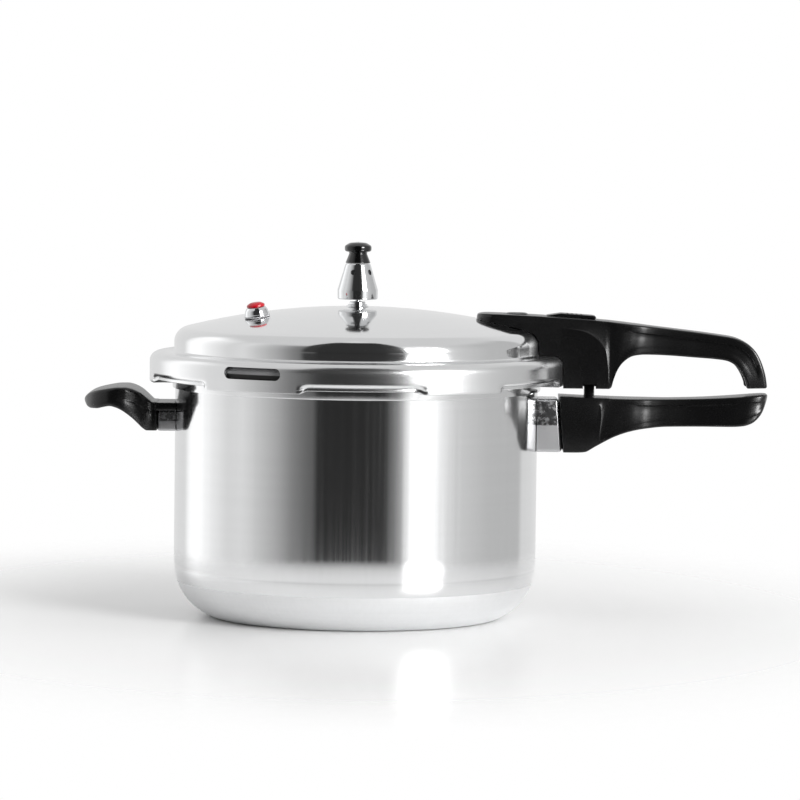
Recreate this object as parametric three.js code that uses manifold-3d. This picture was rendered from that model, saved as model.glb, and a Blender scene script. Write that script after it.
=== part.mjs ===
// Stovetop pressure canner: a drawn aluminium pot with a bayonet lid, two long handles one above
// the other, a short helper handle, a weight regulator, a safety valve and a perforated rack.
//
// Millimetres, +Z up. The origin is the centre of the pot's base, on the surface it stands on.
// +X runs out along the long handles and -X to the helper handle.

import * as THREE from 'three';
import { mergeVertices } from 'three/addons/utils/BufferGeometryUtils.js';
import Module from 'manifold-3d';

const wasm = await Module();
wasm.setup();

// ---------------------------------------------------------------- driving dimensions

const GAP = 0.3; // clearance between pieces that touch
const TURN_SEGMENTS = 48; // facets round the pot and lid, eight to each bayonet pitch
const LUGS = 6; // bayonet lugs on the pot and teeth on the lid
const PITCH = (2 * Math.PI) / LUGS;

// Pot
const POT_BASE_FLAT_R = 94.7;
const POT_CORNER_R = 36;
const POT_CORNER_CENTRE = [83.2, 34.1];
const POT_R = 119.6;
const POT_WALL = 3;
const POT_FLOOR = 4;
const POT_RIM_Z = 165.5;
const RIM_BAND_R = 121.4; // thicker band under the rim, which carries the lugs
const RIM_BAND_Z = 150.5;
const LUG_R = 131;
const LUG_Z = [157.8, 162];
const LUG_ARC = THREE.MathUtils.degToRad(26);

// Lid
const LID_SHEET = 2.8;
const CROWN_R = 453.6; // radius of the shallow crown
const CROWN_Z = 204.5;
const DOME_R = 120.6;
const DOME_CORNER_R = 10;
const DOME_CORNER_Z = 180.5;
const FLANGE_Z = 174;
const FLANGE_CORNER_R = 6;
const SKIRT_R = 136.6;
const SKIRT_Z = 154.5;
const TOOTH_R = 123.8;
const TOOTH_TOP_Z = 157.2;
const TOOTH_ARC = THREE.MathUtils.degToRad(27);
const SKIRT_GAP_ARC = THREE.MathUtils.degToRad(32);
const SKIRT_GAP_TOP_Z = 160.5;
const WINDOW_ANGLE = THREE.MathUtils.degToRad(240);
const WINDOW_ARC = THREE.MathUtils.degToRad(17);
const WINDOW_Z = [162.5, 170.2];

// Gasket
const GASKET_R = [115.5, 133.2];
const GASKET_Z = [POT_RIM_Z + GAP, 170.9];

// Fittings in the lid
const VENT_BORE_R = 1.2;
const VENT_NECK_R = 1.7;
const VENT_THREAD_R = 4;
const REGULATOR_Z = 209.4;
const REGULATOR_R = 13.3;
const REGULATOR_TOP_R = 8.3;
const REGULATOR_TOP_Z = 233;
const KNOB_R = 9;
const KNOB_TOP_Z = 247.2;
const VALVE_CENTRE = [-65, -35];
const VALVE_R = 8.3;
const INDICATOR_X = 105;

// Long handles
const HANDLE_BRACKET_X = 133.2;
const POT_HANDLE_HALF_WIDTH = 18;
const LID_HANDLE_HALF_WIDTH = 17;
const BOSS_X = [150.3, 156.9];
const BOSS_TOP_Z = 155.2;
const LEG_X = [152.4, 156.2]; // leg of the lock slider, which runs through the handle's block
const PRONG_X = [158.4, 162.2];
const SLIDER_SLOPE = Math.atan2(199.9 - 197.7, 160 - 125.3);

// Helper handle
const HELPER_BRACKET_X = -130.5;

// ---------------------------------------------------------------- materials

const finishes = {
  polished: new THREE.MeshStandardMaterial({ color: 0xd6d7d8, roughness: 0.12, metalness: 1 }),
  satin: new THREE.MeshStandardMaterial({ color: 0xbfc0c1, roughness: 0.4, metalness: 1 }),
  chrome: new THREE.MeshStandardMaterial({ color: 0xe2e3e5, roughness: 0.06, metalness: 1 }),
  steel: new THREE.MeshStandardMaterial({ color: 0x9fa1a4, roughness: 0.3, metalness: 1 }),
  bakelite: new THREE.MeshStandardMaterial({ color: 0x141415, roughness: 0.3, metalness: 0 }),
  knob: new THREE.MeshStandardMaterial({ color: 0x0c0c0d, roughness: 0.15, metalness: 0 }),
  red: new THREE.MeshStandardMaterial({ color: 0xb01522, roughness: 0.3, metalness: 0 }),
  gasket: new THREE.MeshStandardMaterial({ color: 0x7c7d7f, roughness: 0.7, metalness: 0 }),
};

// ---------------------------------------------------------------- solids and booleans

// Turns a closed three.js geometry into a solid that can be cut and joined.
function solid(geometry) {
  const bare = geometry.index ? geometry.clone() : mergeVertices(geometry.clone());
  bare.deleteAttribute('normal');
  bare.deleteAttribute('uv');
  const merged = mergeVertices(bare, 1e-4);
  return new wasm.Manifold(new wasm.Mesh({
    numProp: 3,
    vertProperties: new Float32Array(merged.attributes.position.array),
    triVerts: new Uint32Array(merged.index.array),
  }));
}

// Turns a solid back into a three.js geometry.
function geometryOf(body) {
  const mesh = body.getMesh();
  const geometry = new THREE.BufferGeometry();
  geometry.setAttribute('position', new THREE.BufferAttribute(mesh.vertProperties, 3));
  geometry.setIndex(new THREE.BufferAttribute(mesh.triVerts, 1));
  return geometry;
}

function joined(first, ...others) {
  return others.reduce((body, other) => body.add(other), first);
}

function cut(first, ...others) {
  return others.reduce((body, other) => body.subtract(other), first);
}

// A solid of revolution about Z from [radius, z] points, listed anticlockwise.
function turned(points, segments = TURN_SEGMENTS) {
  const profile = points.map(([r, z]) => new THREE.Vector2(r, z));
  return new THREE.LatheGeometry(profile, segments).rotateX(Math.PI / 2);
}

// A round bar from z0 to z1 about Z, standing at x, y.
function bar(r, z0, z1, x = 0, y = 0, segments = 12) {
  const height = z1 - z0;
  const cylinder = new THREE.CylinderGeometry(r, r, height, segments).rotateX(Math.PI / 2);
  return cylinder.translate(x, y, (z0 + z1) / 2);
}

// A round bar from x0 to x1 along X, at y, z.
function crossBar(r, x0, x1, y, z, segments = 12) {
  const cylinder = new THREE.CylinderGeometry(r, r, x1 - x0, segments).rotateZ(Math.PI / 2);
  return cylinder.translate((x0 + x1) / 2, y, z);
}

function box(x0, x1, y0, y1, z0, z1) {
  const block = new THREE.BoxGeometry(x1 - x0, y1 - y0, z1 - z0);
  return block.translate((x0 + x1) / 2, (y0 + y1) / 2, (z0 + z1) / 2);
}

// An [x, z] outline made as thick as width along Y, centred on the XZ plane.
function sideProfile(shape, width, bevel = 0, curveSegments = 4) {
  const settings = {
    depth: width - 2 * bevel,
    bevelEnabled: bevel > 0,
    bevelSize: bevel,
    bevelThickness: bevel,
    bevelOffset: -bevel,
    bevelSegments: 1,
    curveSegments,
  };
  const geometry = new THREE.ExtrudeGeometry(shape, settings).rotateX(Math.PI / 2);
  return geometry.translate(0, width / 2 - bevel, 0);
}

// An [x, y] outline raised from z0 to z1.
function raised(shape, z0, z1, curveSegments = 8) {
  const settings = { depth: z1 - z0, bevelEnabled: false, curveSegments };
  return new THREE.ExtrudeGeometry(shape, settings).translate(0, 0, z0);
}

function roundedRectangle(x0, x1, y0, y1, r) {
  const shape = new THREE.Shape();
  shape.moveTo(x0 + r, y0);
  shape.lineTo(x1 - r, y0);
  shape.absarc(x1 - r, y0 + r, r, -Math.PI / 2, 0);
  shape.lineTo(x1, y1 - r);
  shape.absarc(x1 - r, y1 - r, r, 0, Math.PI / 2);
  shape.lineTo(x0 + r, y1);
  shape.absarc(x0 + r, y1 - r, r, Math.PI / 2, Math.PI);
  shape.lineTo(x0, y0 + r);
  shape.absarc(x0 + r, y0 + r, r, Math.PI, 1.5 * Math.PI);
  return shape;
}

// A sector of a flat ring, centred on an angle.
function ringSector(r0, r1, angle, arc, z0, z1) {
  const shape = new THREE.Shape();
  shape.absarc(0, 0, r1, angle - arc / 2, angle + arc / 2, false);
  shape.absarc(0, 0, r0, angle + arc / 2, angle - arc / 2, true);
  return raised(shape, z0, z1, 4);
}

// A rounded slot cut radially through a wall: it stands across the radius at an angle.
function radialSlot(angle, r0, r1, width, z0, z1, corner) {
  const shape = roundedRectangle(-width / 2, width / 2, z0, z1, corner);
  const slot = sideProfile(shape, r1 - r0, 0, 4);
  return slot.translate(0, (r0 + r1) / 2, 0).rotateZ(angle - Math.PI / 2);
}

// Points on an arc about [cr, cz], from one angle to another, in degrees.
function arcPoints(cr, cz, r, from, to, steps) {
  const at = (i) => THREE.MathUtils.degToRad(from + ((to - from) * i) / steps);
  return Array.from({ length: steps + 1 }, (_, i) => [
    cr + r * Math.cos(at(i)),
    cz + r * Math.sin(at(i)),
  ]);
}

// ---------------------------------------------------------------- pot

function potShell() {
  const [cr, cz] = POT_CORNER_CENTRE;
  const floorAngle = THREE.MathUtils.radToDeg(Math.acos((POT_BASE_FLAT_R - cr) / POT_CORNER_R));
  const innerR = POT_CORNER_R - POT_WALL;
  const innerFloorAngle = THREE.MathUtils.radToDeg(Math.asin((cz - POT_FLOOR) / innerR));
  const outside = [[0, 0], ...arcPoints(cr, cz, POT_CORNER_R, -floorAngle, 0, 4)];
  const rim = [
    [POT_R - 0.1, RIM_BAND_Z],
    [RIM_BAND_R, RIM_BAND_Z + 0.8],
    [RIM_BAND_R, POT_RIM_Z - 1],
    [RIM_BAND_R - 1, POT_RIM_Z],
    [POT_R - POT_WALL, POT_RIM_Z],
  ];
  const inside = [...arcPoints(cr, cz, innerR, 0, -innerFloorAngle, 3), [0, POT_FLOOR]];
  let shell = solid(turned([...outside, ...rim, ...inside]));
  for (let i = 0; i < LUGS; i += 1) {
    shell = shell.add(solid(ringSector(POT_R - 1, LUG_R, i * PITCH, LUG_ARC, ...LUG_Z)));
  }
  const rivetHoles = [
    ...potRivetPlaces().map(([y, z]) => crossBar(2.5, 110, 125, y, z)),
    ...helperRivetPlaces().map(([y, z]) => crossBar(2.5, -125, -110, y, z)),
  ];
  return cut(shell, ...rivetHoles.map(solid));
}

function potRivetPlaces() {
  return [[0, 118.5], [0, 139]];
}

function helperRivetPlaces() {
  return [[-11, 128], [11, 128]];
}

// A rivet along X through the wall: a flat head inside and a round one on the bracket.
function rivet(insideX, outsideX, y, z, head = 4) {
  const out = Math.sign(outsideX);
  const shank = 2.2;
  const profile = [
    [0, insideX * out - 1.4],
    [head, insideX * out - 1.4],
    [head, insideX * out],
    [shank, insideX * out],
    [shank, outsideX * out],
    [head, outsideX * out],
    [head * 0.7, outsideX * out + 1.2],
    [0, outsideX * out + 1.5],
  ];
  const body = turned(profile, 12).rotateY((out * Math.PI) / 2);
  return body.translate(0, y, z);
}

// Pressed steel box between the wall and the pot handle, open towards the handle.
function potHandleBracket() {
  const outline = new THREE.Shape([
    new THREE.Vector2(110, 110.8),
    new THREE.Vector2(135.8, 110.8),
    new THREE.Vector2(HANDLE_BRACKET_X, 145.8),
    new THREE.Vector2(110, 145.8),
  ]);
  const back = 3.2;
  const sheet = 1.6;
  const hollow = box(POT_R + back, 140, -15 + sheet, 15 - sheet, 110.8 + sheet, 145.8 - sheet);
  return cut(
    solid(sideProfile(outline, 30, 1)),
    solid(bar(POT_R + GAP + 0.1, 100, 150, 0, 0, TURN_SEGMENTS)),
    solid(hollow),
    ...potRivetPlaces().map(([y, z]) => solid(crossBar(2.5, 115, 130, y, z))),
    solid(crossBar(1.9, 115, 130, 0, 129)),
  );
}

// Side outline of the pot's long handle: a deep root and a slim grip with a round end.
function potHandleOutline() {
  const shape = new THREE.Shape();
  shape.moveTo(HANDLE_BRACKET_X + GAP, 147.6);
  shape.quadraticCurveTo(205, 144.6, 270.8, 150.2);
  shape.quadraticCurveTo(271, 129.2, 250, 128.9);
  shape.quadraticCurveTo(215, 128.6, 202, 128.1);
  shape.quadraticCurveTo(180, 127, 165.6, 119.4);
  shape.lineTo(151, 110.8);
  shape.lineTo(136.1 + GAP, 110.8);
  return shape;
}

// Plan of the pot's long handle: parallel, then a little waisted, then a rounded end.
function potHandlePlan() {
  const half = POT_HANDLE_HALF_WIDTH;
  const shape = new THREE.Shape();
  shape.moveTo(130, -half);
  shape.lineTo(160, -half);
  shape.bezierCurveTo(180, -half, 190, -half + 2.5, 215, -half + 2.5);
  shape.bezierCurveTo(235, -half + 2.5, 240, -half, 256, -half + 0.5);
  shape.quadraticCurveTo(271.5, -half + 1, 271.5, -5);
  shape.lineTo(271.5, 5);
  shape.quadraticCurveTo(271.5, half - 1, 256, half - 0.5);
  shape.bezierCurveTo(240, half, 235, half - 2.5, 215, half - 2.5);
  shape.bezierCurveTo(190, half - 2.5, 180, half, 160, half);
  shape.lineTo(130, half);
  return shape;
}

function potHandleGrip() {
  const half = POT_HANDLE_HALF_WIDTH;
  const block = solid(sideProfile(potHandleOutline(), 2 * half, 2));
  const plan = solid(raised(potHandlePlan(), 100, 155, 4));
  const tongue = box(POT_R + 3.7, 137, -13, 13, 112.8, 143.8);
  const channel = roundedRectangle(168, 258, -10.5, 10.5, 6);
  return cut(
    joined(block.intersect(plan), solid(tongue)),
    solid(raised(channel, 110, 141, 4)),
    solid(boss(GAP)),
    solid(crossBar(2.4, 120, 170, 0, 129)),
    ...potRivetPlaces().map(([y, z]) => solid(crossBar(4.4, 120, 127.5, y, z))),
  );
}

// Stop pressed into the top of the pot handle, which the lock slider's fork closes round.
function boss(clearance = 0) {
  const [x0, x1] = BOSS_X;
  const half = 5 + clearance;
  return box(x0 - clearance, x1 + clearance, -half, half, 140 - clearance, BOSS_TOP_Z);
}

// The screw along the root of the pot handle, driven from the hollow under the grip.
function potHandleScrew() {
  return solid(turned([
    [0, 121.5],
    [1.8, 121.5],
    [1.8, 127],
    [2, 127.5],
    [2, 168.3],
    [4.2, 168.3],
    [4.2, 170],
    [3, 171.3],
    [0, 171.5],
  ], 14).rotateY(Math.PI / 2).translate(0, 0, 129));
}

// ---------------------------------------------------------------- helper handle

function helperBracket() {
  const back = 2.6;
  const sheet = 1.6;
  const outside = box(HELPER_BRACKET_X, -110, -18, 18, 122, 135);
  const hollow = box(-140, -POT_R - back, -18 + sheet, 18 - sheet, 122 + sheet, 135 - sheet);
  return cut(
    solid(outside),
    solid(bar(POT_R + GAP + 0.1, 100, 150, 0, 0, TURN_SEGMENTS)),
    solid(hollow),
    ...helperRivetPlaces().map(([y, z]) => solid(crossBar(2.5, -130, -115, y, z))),
    solid(crossBar(1.9, -130, -115, 0, 128)),
  );
}

// Side outline of the helper handle: a root, a hump and a thin lip for the fingers.
function helperOutline() {
  const shape = new THREE.Shape();
  shape.moveTo(HELPER_BRACKET_X - GAP, 122.2);
  shape.lineTo(-138.5, 122.2);
  shape.quadraticCurveTo(-143, 124, -146.5, 129.2);
  shape.quadraticCurveTo(-151.5, 137.4, -160, 138.6);
  shape.quadraticCurveTo(-168, 139, -174, 137.6);
  shape.quadraticCurveTo(-180.6, 138.5, -178.6, 143.4);
  shape.quadraticCurveTo(-165, 150.2, -152.5, 150.6);
  shape.quadraticCurveTo(-145, 150.2, -139, 145);
  shape.lineTo(-134, 140.8);
  shape.lineTo(HELPER_BRACKET_X - GAP, 140.8);
  return shape;
}

// Plan of the helper handle: narrow at the bracket and spreading to a rounded outer edge.
function helperPlan() {
  const shape = new THREE.Shape();
  shape.moveTo(-130, -20);
  shape.bezierCurveTo(-142, -20, -142, -29.5, -156, -29.5);
  shape.quadraticCurveTo(-180.5, -29.5, -180.5, -8);
  shape.lineTo(-180.5, 8);
  shape.quadraticCurveTo(-180.5, 29.5, -156, 29.5);
  shape.bezierCurveTo(-142, 29.5, -142, 20, -130, 20);
  return shape;
}

function helperHandleGrip() {
  const block = solid(sideProfile(helperOutline(), 60, 2));
  const plan = solid(raised(helperPlan(), 110, 160, 5));
  const tongue = box(-137, -POT_R - 3.1, -16, 16, 124, 133);
  const shelf = cut(
    solid(box(-137, -115, -19.5, 19.5, 135 + GAP, 140.6)),
    solid(bar(POT_R + GAP + 0.1, 100, 150, 0, 0, TURN_SEGMENTS)),
  );
  return cut(
    joined(block.intersect(plan), solid(tongue), shelf),
    solid(crossBar(2.4, -160, -115, 0, 128)),
    solid(crossBar(4.8, -160, -137.4, 0, 128)),
    ...helperRivetPlaces().map(([y, z]) => solid(crossBar(4.4, -126, -115, y, z))),
  );
}

function helperHandleScrew() {
  return solid(turned([
    [0, 121.3],
    [1.8, 121.3],
    [1.8, 124.5],
    [2, 125],
    [2, 137.7],
    [4.2, 137.7],
    [4.2, 139],
    [3, 140],
    [0, 140.2],
  ], 14).rotateY(-Math.PI / 2).translate(0, 0, 128));
}

// ---------------------------------------------------------------- rack and gasket

// Perforated disc on a turned-down rim, which holds jars off the pot's floor.
function canningRack() {
  const topZ = 20;
  const footZ = 6.8;
  const sheet = 1.2;
  const rimR = 100;
  const disc = turned([
    [0, topZ - sheet],
    [rimR - sheet, topZ - sheet],
    [rimR - sheet, footZ],
    [rimR, footZ],
    [rimR, topZ],
    [0, topZ],
  ], 36);
  const rings = [[6, 38, 7], [12, 74, 7]];
  const holes = rings.flatMap(([count, radius, r]) => Array.from({ length: count }, (_, i) => {
    const angle = (2 * Math.PI * i) / count;
    return bar(r, 15, 25, radius * Math.cos(angle), radius * Math.sin(angle), 9);
  }));
  return cut(solid(disc), solid(bar(9, 15, 25, 0, 0, 16)), ...holes.map(solid));
}

function sealingGasket() {
  const [r0, r1] = GASKET_R;
  const [z0, z1] = GASKET_Z;
  const chamfer = 3.4;
  return turned([
    [r0, z1 - 1.6],
    [r0 + 2, z0],
    [r1, z0],
    [r1, z1 - chamfer],
    [r1 - chamfer, z1],
    [r0, z1],
    [r0, z1 - 1.6],
  ]);
}

// ---------------------------------------------------------------- lid

function crownZ(r, lowered = 0) {
  const radius = CROWN_R - lowered;
  return CROWN_Z - CROWN_R + Math.sqrt(radius * radius - r * r);
}

// Crown, corner and side of the dome as profile points from the centre out, lowered by a sheet.
function domeSurface(lowered) {
  const cornerR = DOME_CORNER_R - lowered;
  const cornerCentre = DOME_R - DOME_CORNER_R;
  const corner = arcPoints(cornerCentre, DOME_CORNER_Z, cornerR, 76, 0, 3);
  const crown = [0, 50, 90].map((r) => [r, crownZ(r, lowered)]);
  return [...crown, ...corner];
}

function lidShell() {
  const flangeCentre = SKIRT_R - FLANGE_CORNER_R;
  const flangeCornerZ = FLANGE_Z - FLANGE_CORNER_R;
  const innerCorner = FLANGE_CORNER_R - LID_SHEET;
  const inside = [
    ...domeSurface(LID_SHEET),
    [DOME_R + 0.2 - LID_SHEET, FLANGE_Z - LID_SHEET],
    ...arcPoints(flangeCentre, flangeCornerZ, innerCorner, 90, 0, 2),
    [SKIRT_R - LID_SHEET, SKIRT_Z],
  ];
  const outside = [
    [SKIRT_R, SKIRT_Z],
    ...arcPoints(flangeCentre, flangeCornerZ, FLANGE_CORNER_R, 0, 90, 3),
    [DOME_R + 1.8, FLANGE_Z],
    [DOME_R + 0.4, FLANGE_Z + 1.4],
    ...domeSurface(0).reverse(),
  ];
  let shell = solid(turned([...inside, ...outside]));
  const gapWidth = 2 * SKIRT_R * Math.sin(SKIRT_GAP_ARC / 2);
  const windowWidth = 2 * SKIRT_R * Math.sin(WINDOW_ARC / 2);
  for (let i = 0; i < LUGS; i += 1) {
    const angle = (i + 0.5) * PITCH;
    shell = shell.subtract(solid(radialSlot(angle, 125, 140, gapWidth, 145, SKIRT_GAP_TOP_Z, 5)));
  }
  for (let i = 0; i < LUGS; i += 1) {
    const tooth = ringSector(TOOTH_R, SKIRT_R - 1, i * PITCH, TOOTH_ARC, SKIRT_Z, TOOTH_TOP_Z);
    shell = shell.add(solid(tooth));
  }
  return cut(
    shell,
    solid(radialSlot(WINDOW_ANGLE, 127, 140, windowWidth, ...WINDOW_Z, 3.8)),
    solid(bar(VENT_THREAD_R + GAP, 190, 215)),
    onValveAxis(solid(bar(5 + GAP, -10, 10))),
    solid(bar(4 + GAP, 180, 200, INDICATOR_X, 0)),
    ...lidRivetPlaces().map(([y, z]) => solid(crossBar(2.5, 110, 125, y, z))),
  );
}

// The outside of the lid grown by a clearance: what a piece seated on the lid is cut by.
function lidEnvelope(clearance) {
  const flangeCentre = SKIRT_R - FLANGE_CORNER_R;
  const flangeCornerZ = FLANGE_Z - FLANGE_CORNER_R;
  const grown = FLANGE_CORNER_R + clearance;
  return solid(turned([
    [0, 140],
    [SKIRT_R + clearance, 140],
    ...arcPoints(flangeCentre, flangeCornerZ, grown, 0, 90, 3),
    [DOME_R + 1.8 + clearance, FLANGE_Z + clearance],
    [DOME_R + 0.4 + clearance, FLANGE_Z + 1.4 + clearance],
    ...domeSurface(-clearance).reverse(),
  ]));
}

function lidRivetPlaces() {
  return [[-6, 180.8], [6, 180.8]];
}

// Steel angle riveted to the side of the dome, whose strip runs out over the flange into the handle.
function lidHandleBracket() {
  const outline = new THREE.Shape([
    new THREE.Vector2(115, 174.3),
    new THREE.Vector2(151, 174.3),
    new THREE.Vector2(151, 176.8),
    new THREE.Vector2(124.6, 176.8),
    new THREE.Vector2(123.6, 177.8),
    new THREE.Vector2(123.6, 186),
    new THREE.Vector2(115, 186),
  ]);
  return cut(
    solid(sideProfile(outline, 26)),
    lidEnvelope(GAP + 0.1),
    solid(box(LEG_X[0] - 7, 155, -3.8, 3.8, 170, 180)),
    ...lidRivetPlaces().map(([y, z]) => solid(crossBar(2.5, 115, 130, y, z))),
    ...lidScrewPlaces().map(([x, y]) => solid(bar(2.3, 170, 180, x, y, 14))),
  );
}

function lidScrewPlaces() {
  return [[145, -8.5], [145, 8.5]];
}

// Side outline of the lid handle: a thin nose on the crown, a deep block over the skirt and a
// long grip that ends in a hook.
function lidHandleOutline() {
  const shape = new THREE.Shape();
  shape.moveTo(79, 199);
  shape.lineTo(82.5, 201.5);
  shape.lineTo(115, 200.5);
  shape.quadraticCurveTo(150, 199, 167.6, 197);
  shape.quadraticCurveTo(205, 193.2, 241.6, 188.4);
  shape.quadraticCurveTo(256, 186, 262.4, 178.5);
  shape.quadraticCurveTo(268.6, 169, 270.2, 154.4);
  shape.lineTo(255.4, 154.4);
  shape.quadraticCurveTo(253.5, 164, 249.8, 168.6);
  shape.quadraticCurveTo(246, 172.4, 238, 173);
  shape.lineTo(206, 175.2);
  shape.lineTo(187, 175.6);
  shape.quadraticCurveTo(171, 174.6, 168, 153);
  shape.lineTo(115, 153);
  shape.lineTo(79, 190);
  return shape;
}

// Plan of the lid handle: a rounded nose, full width over the flange, then a waisted grip.
function lidHandlePlan() {
  const half = LID_HANDLE_HALF_WIDTH;
  const shape = new THREE.Shape();
  shape.moveTo(78.5, -6);
  shape.quadraticCurveTo(79, -half + 1, 92, -half + 0.4);
  shape.lineTo(118, -half);
  shape.lineTo(168, -half);
  shape.bezierCurveTo(185, -half, 190, -half + 2.6, 212, -half + 2.6);
  shape.bezierCurveTo(235, -half + 2.6, 240, -half + 0.4, 254, -half + 0.6);
  shape.quadraticCurveTo(270.5, -half + 1.5, 270.5, -5);
  shape.lineTo(270.5, 5);
  shape.quadraticCurveTo(270.5, half - 1.5, 254, half - 0.6);
  shape.bezierCurveTo(240, half - 0.4, 235, half - 2.6, 212, half - 2.6);
  shape.bezierCurveTo(190, half - 2.6, 185, half, 168, half);
  shape.lineTo(118, half);
  shape.lineTo(92, half - 0.4);
  shape.quadraticCurveTo(79, half - 1, 78.5, 6);
  return shape;
}

// Hollow under the grip, open below from the arch to the hook.
function gripHollow() {
  const outline = new THREE.Shape();
  outline.moveTo(178, 160);
  outline.lineTo(178, 186);
  outline.quadraticCurveTo(215, 184, 245, 178);
  outline.quadraticCurveTo(257, 174, 260.5, 150);
  outline.lineTo(178, 150);
  return solid(sideProfile(outline, 19));
}

function lidHandleGrip() {
  const half = LID_HANDLE_HALF_WIDTH;
  const block = solid(sideProfile(lidHandleOutline(), 2 * half, 2));
  const plan = solid(raised(lidHandlePlan(), 140, 210, 4));
  const [prongX0, prongX1] = PRONG_X;
  const slide = 6.6;
  const legSlot = box(LEG_X[0] - slide, LEG_X[1] + 0.6, -3.4, 3.4, 140, 205);
  const footSlot = box(LEG_X[0] - slide, prongX1 + 1, -3.4, 3.4, 140, 158.2);
  const prongSlot = box(prongX0 - slide, prongX1 + 1, -9.2, 9.2, 140, 158.2);
  const bossGroove = box(BOSS_X[0] - 1.4, BOSS_X[1] + 0.7, -20, 6, 140, BOSS_TOP_Z + 0.5);
  const bracketPocket = box(115, 151.4, -13.4, 13.4, 170, 177.2);
  const legPocket = box(115, 125.6, -13.4, 13.4, 170, 186.6);
  return cut(
    block.intersect(plan),
    lidEnvelope(GAP + 0.1),
    gripHollow(),
    solid(legSlot),
    solid(footSlot),
    solid(prongSlot),
    solid(bossGroove),
    solid(bracketPocket),
    solid(legPocket),
    solid(bar(8.3, 198.6, 205, INDICATOR_X, 0, 20)),
    solid(bar(5.6, 188, 205, INDICATOR_X, 0, 16)),
    ...lidScrewPlaces().map(([x, y]) => solid(bar(2.3, 140, 180.5, x, y, 14))),
    ...lidScrewPlaces().map(([x, y]) => solid(bar(4.6, 140, 157.3, x, y, 14))),
  );
}

// A screw pointing up through the bracket, its head in the underside of the handle's block.
function lidHandleScrew() {
  return solid(turned([
    [0, 154.2],
    [3.2, 154.2],
    [4.2, 155.2],
    [4.2, 157],
    [2, 157],
    [2, 180],
    [0, 180],
  ], 14));
}

// ---------------------------------------------------------------- vent pipe and regulator

function ventPipe() {
  return solid(turned([
    [VENT_BORE_R, 190],
    [VENT_THREAD_R, 190],
    [VENT_THREAD_R, CROWN_Z + 0.9],
    [6.4, CROWN_Z + 0.9],
    [6.4, CROWN_Z + 1.6],
    [5, CROWN_Z + 1.8],
    [5, CROWN_Z + 3.2],
    [VENT_NECK_R, CROWN_Z + 3.6],
    [VENT_NECK_R, 214],
    [3, 214.8],
    [3, 220],
    [VENT_BORE_R, 223],
    [VENT_BORE_R, 190],
  ], 14));
}

function ventWasher() {
  return turned([
    [VENT_THREAD_R + GAP, CROWN_Z + 0.2],
    [7.4, CROWN_Z + 0.2],
    [7.4, CROWN_Z + 0.6],
    [VENT_THREAD_R + GAP, CROWN_Z + 0.6],
    [VENT_THREAD_R + GAP, CROWN_Z + 0.2],
  ], 16);
}

function hexNut(acrossFlats, bore, z0, z1) {
  const corner = acrossFlats / Math.sqrt(3);
  const nut = solid(bar(corner, z0, z1, 0, 0, 6));
  return nut.subtract(solid(bar(bore, z0 - 1, z1 + 1, 0, 0, 16)));
}

function ventNut() {
  const top = crownZ(7, LID_SHEET) - GAP - 0.1;
  return hexNut(12, VENT_THREAD_R + GAP, top - 5, top);
}

// Chrome weight: a skirted cone with a blind bore that drops over the vent pipe.
function regulatorWeight() {
  const cone = turned([
    [4, REGULATOR_Z],
    [REGULATOR_R - 0.8, REGULATOR_Z],
    [REGULATOR_R, REGULATOR_Z + 0.8],
    [REGULATOR_R, REGULATOR_Z + 6.2],
    [REGULATOR_R - 0.5, REGULATOR_Z + 7],
    [REGULATOR_TOP_R, REGULATOR_TOP_Z],
    [0, REGULATOR_TOP_Z],
    [0, 224.5],
    [4, 224.5],
    [4, REGULATOR_Z],
  ], 24);
  const seatHole = bar(1.4, 220, REGULATOR_TOP_Z - 1.5, 0, 0, 12);
  const jets = [0, 1, 2, 3, 4].map((i) => {
    const angle = THREE.MathUtils.degToRad(252 + 72 * i);
    return crossBar(1.6, 0, 20, 0, 227.6, 8).rotateZ(angle);
  });
  return cut(solid(cone), solid(seatHole), ...jets.map(solid));
}

// Steel pin pressed into the weight, whose point closes the vent pipe.
function regulatorNeedle() {
  return solid(turned([
    [0, 219],
    [0.8, 221.5],
    [0.8, 224],
    [1.1, 225],
    [1.1, REGULATOR_TOP_Z - 1.9],
    [0, REGULATOR_TOP_Z - 1.9],
  ], 12));
}

function regulatorKnob() {
  return turned([
    [0, REGULATOR_TOP_Z + GAP],
    [REGULATOR_TOP_R, REGULATOR_TOP_Z + GAP],
    [5.9, 239.6],
    [5.9, 240.4],
    [KNOB_R - 1, 241],
    [KNOB_R, 242.4],
    [KNOB_R - 0.6, 244.6],
    [6, 246.5],
    [0, KNOB_TOP_Z],
  ], 24);
}

// ---------------------------------------------------------------- safety valve

// Moves a solid made about Z onto the valve's axis, which stands square to the crown.
function onValveAxis(body) {
  const [x, y] = VALVE_CENTRE;
  const radius = Math.hypot(x, y);
  const tilt = Math.asin(radius / CROWN_R);
  const turn = new THREE.Matrix4().makeRotationZ(Math.atan2(y, x));
  const lean = new THREE.Matrix4().makeRotationY(tilt);
  const seat = new THREE.Matrix4().makeTranslation(x, y, crownZ(radius));
  return body.transform(seat.multiply(turn).multiply(lean).toArray());
}

// Chrome body: a domed collar outside, a threaded stem through the crown and a bore for the plug.
function safetyValveBody() {
  return onValveAxis(solid(turned([
    [3.2, -9],
    [5, -9],
    [5, 1],
    [VALVE_R, 1],
    [VALVE_R, 3],
    [VALVE_R - 0.8, 5.2],
    [6.4, 6.6],
    [3.2, 6.6],
    [3.2, -9],
  ], 20)));
}

function safetyValveWasher() {
  return onValveAxis(solid(turned([
    [5.3, GAP],
    [VALVE_R, GAP],
    [VALVE_R, 1 - 0.2],
    [5.3, 1 - 0.2],
    [5.3, GAP],
  ], 16)));
}

function safetyValveNut() {
  return onValveAxis(hexNut(14, 5.3, -7.6, -3.5));
}

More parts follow.
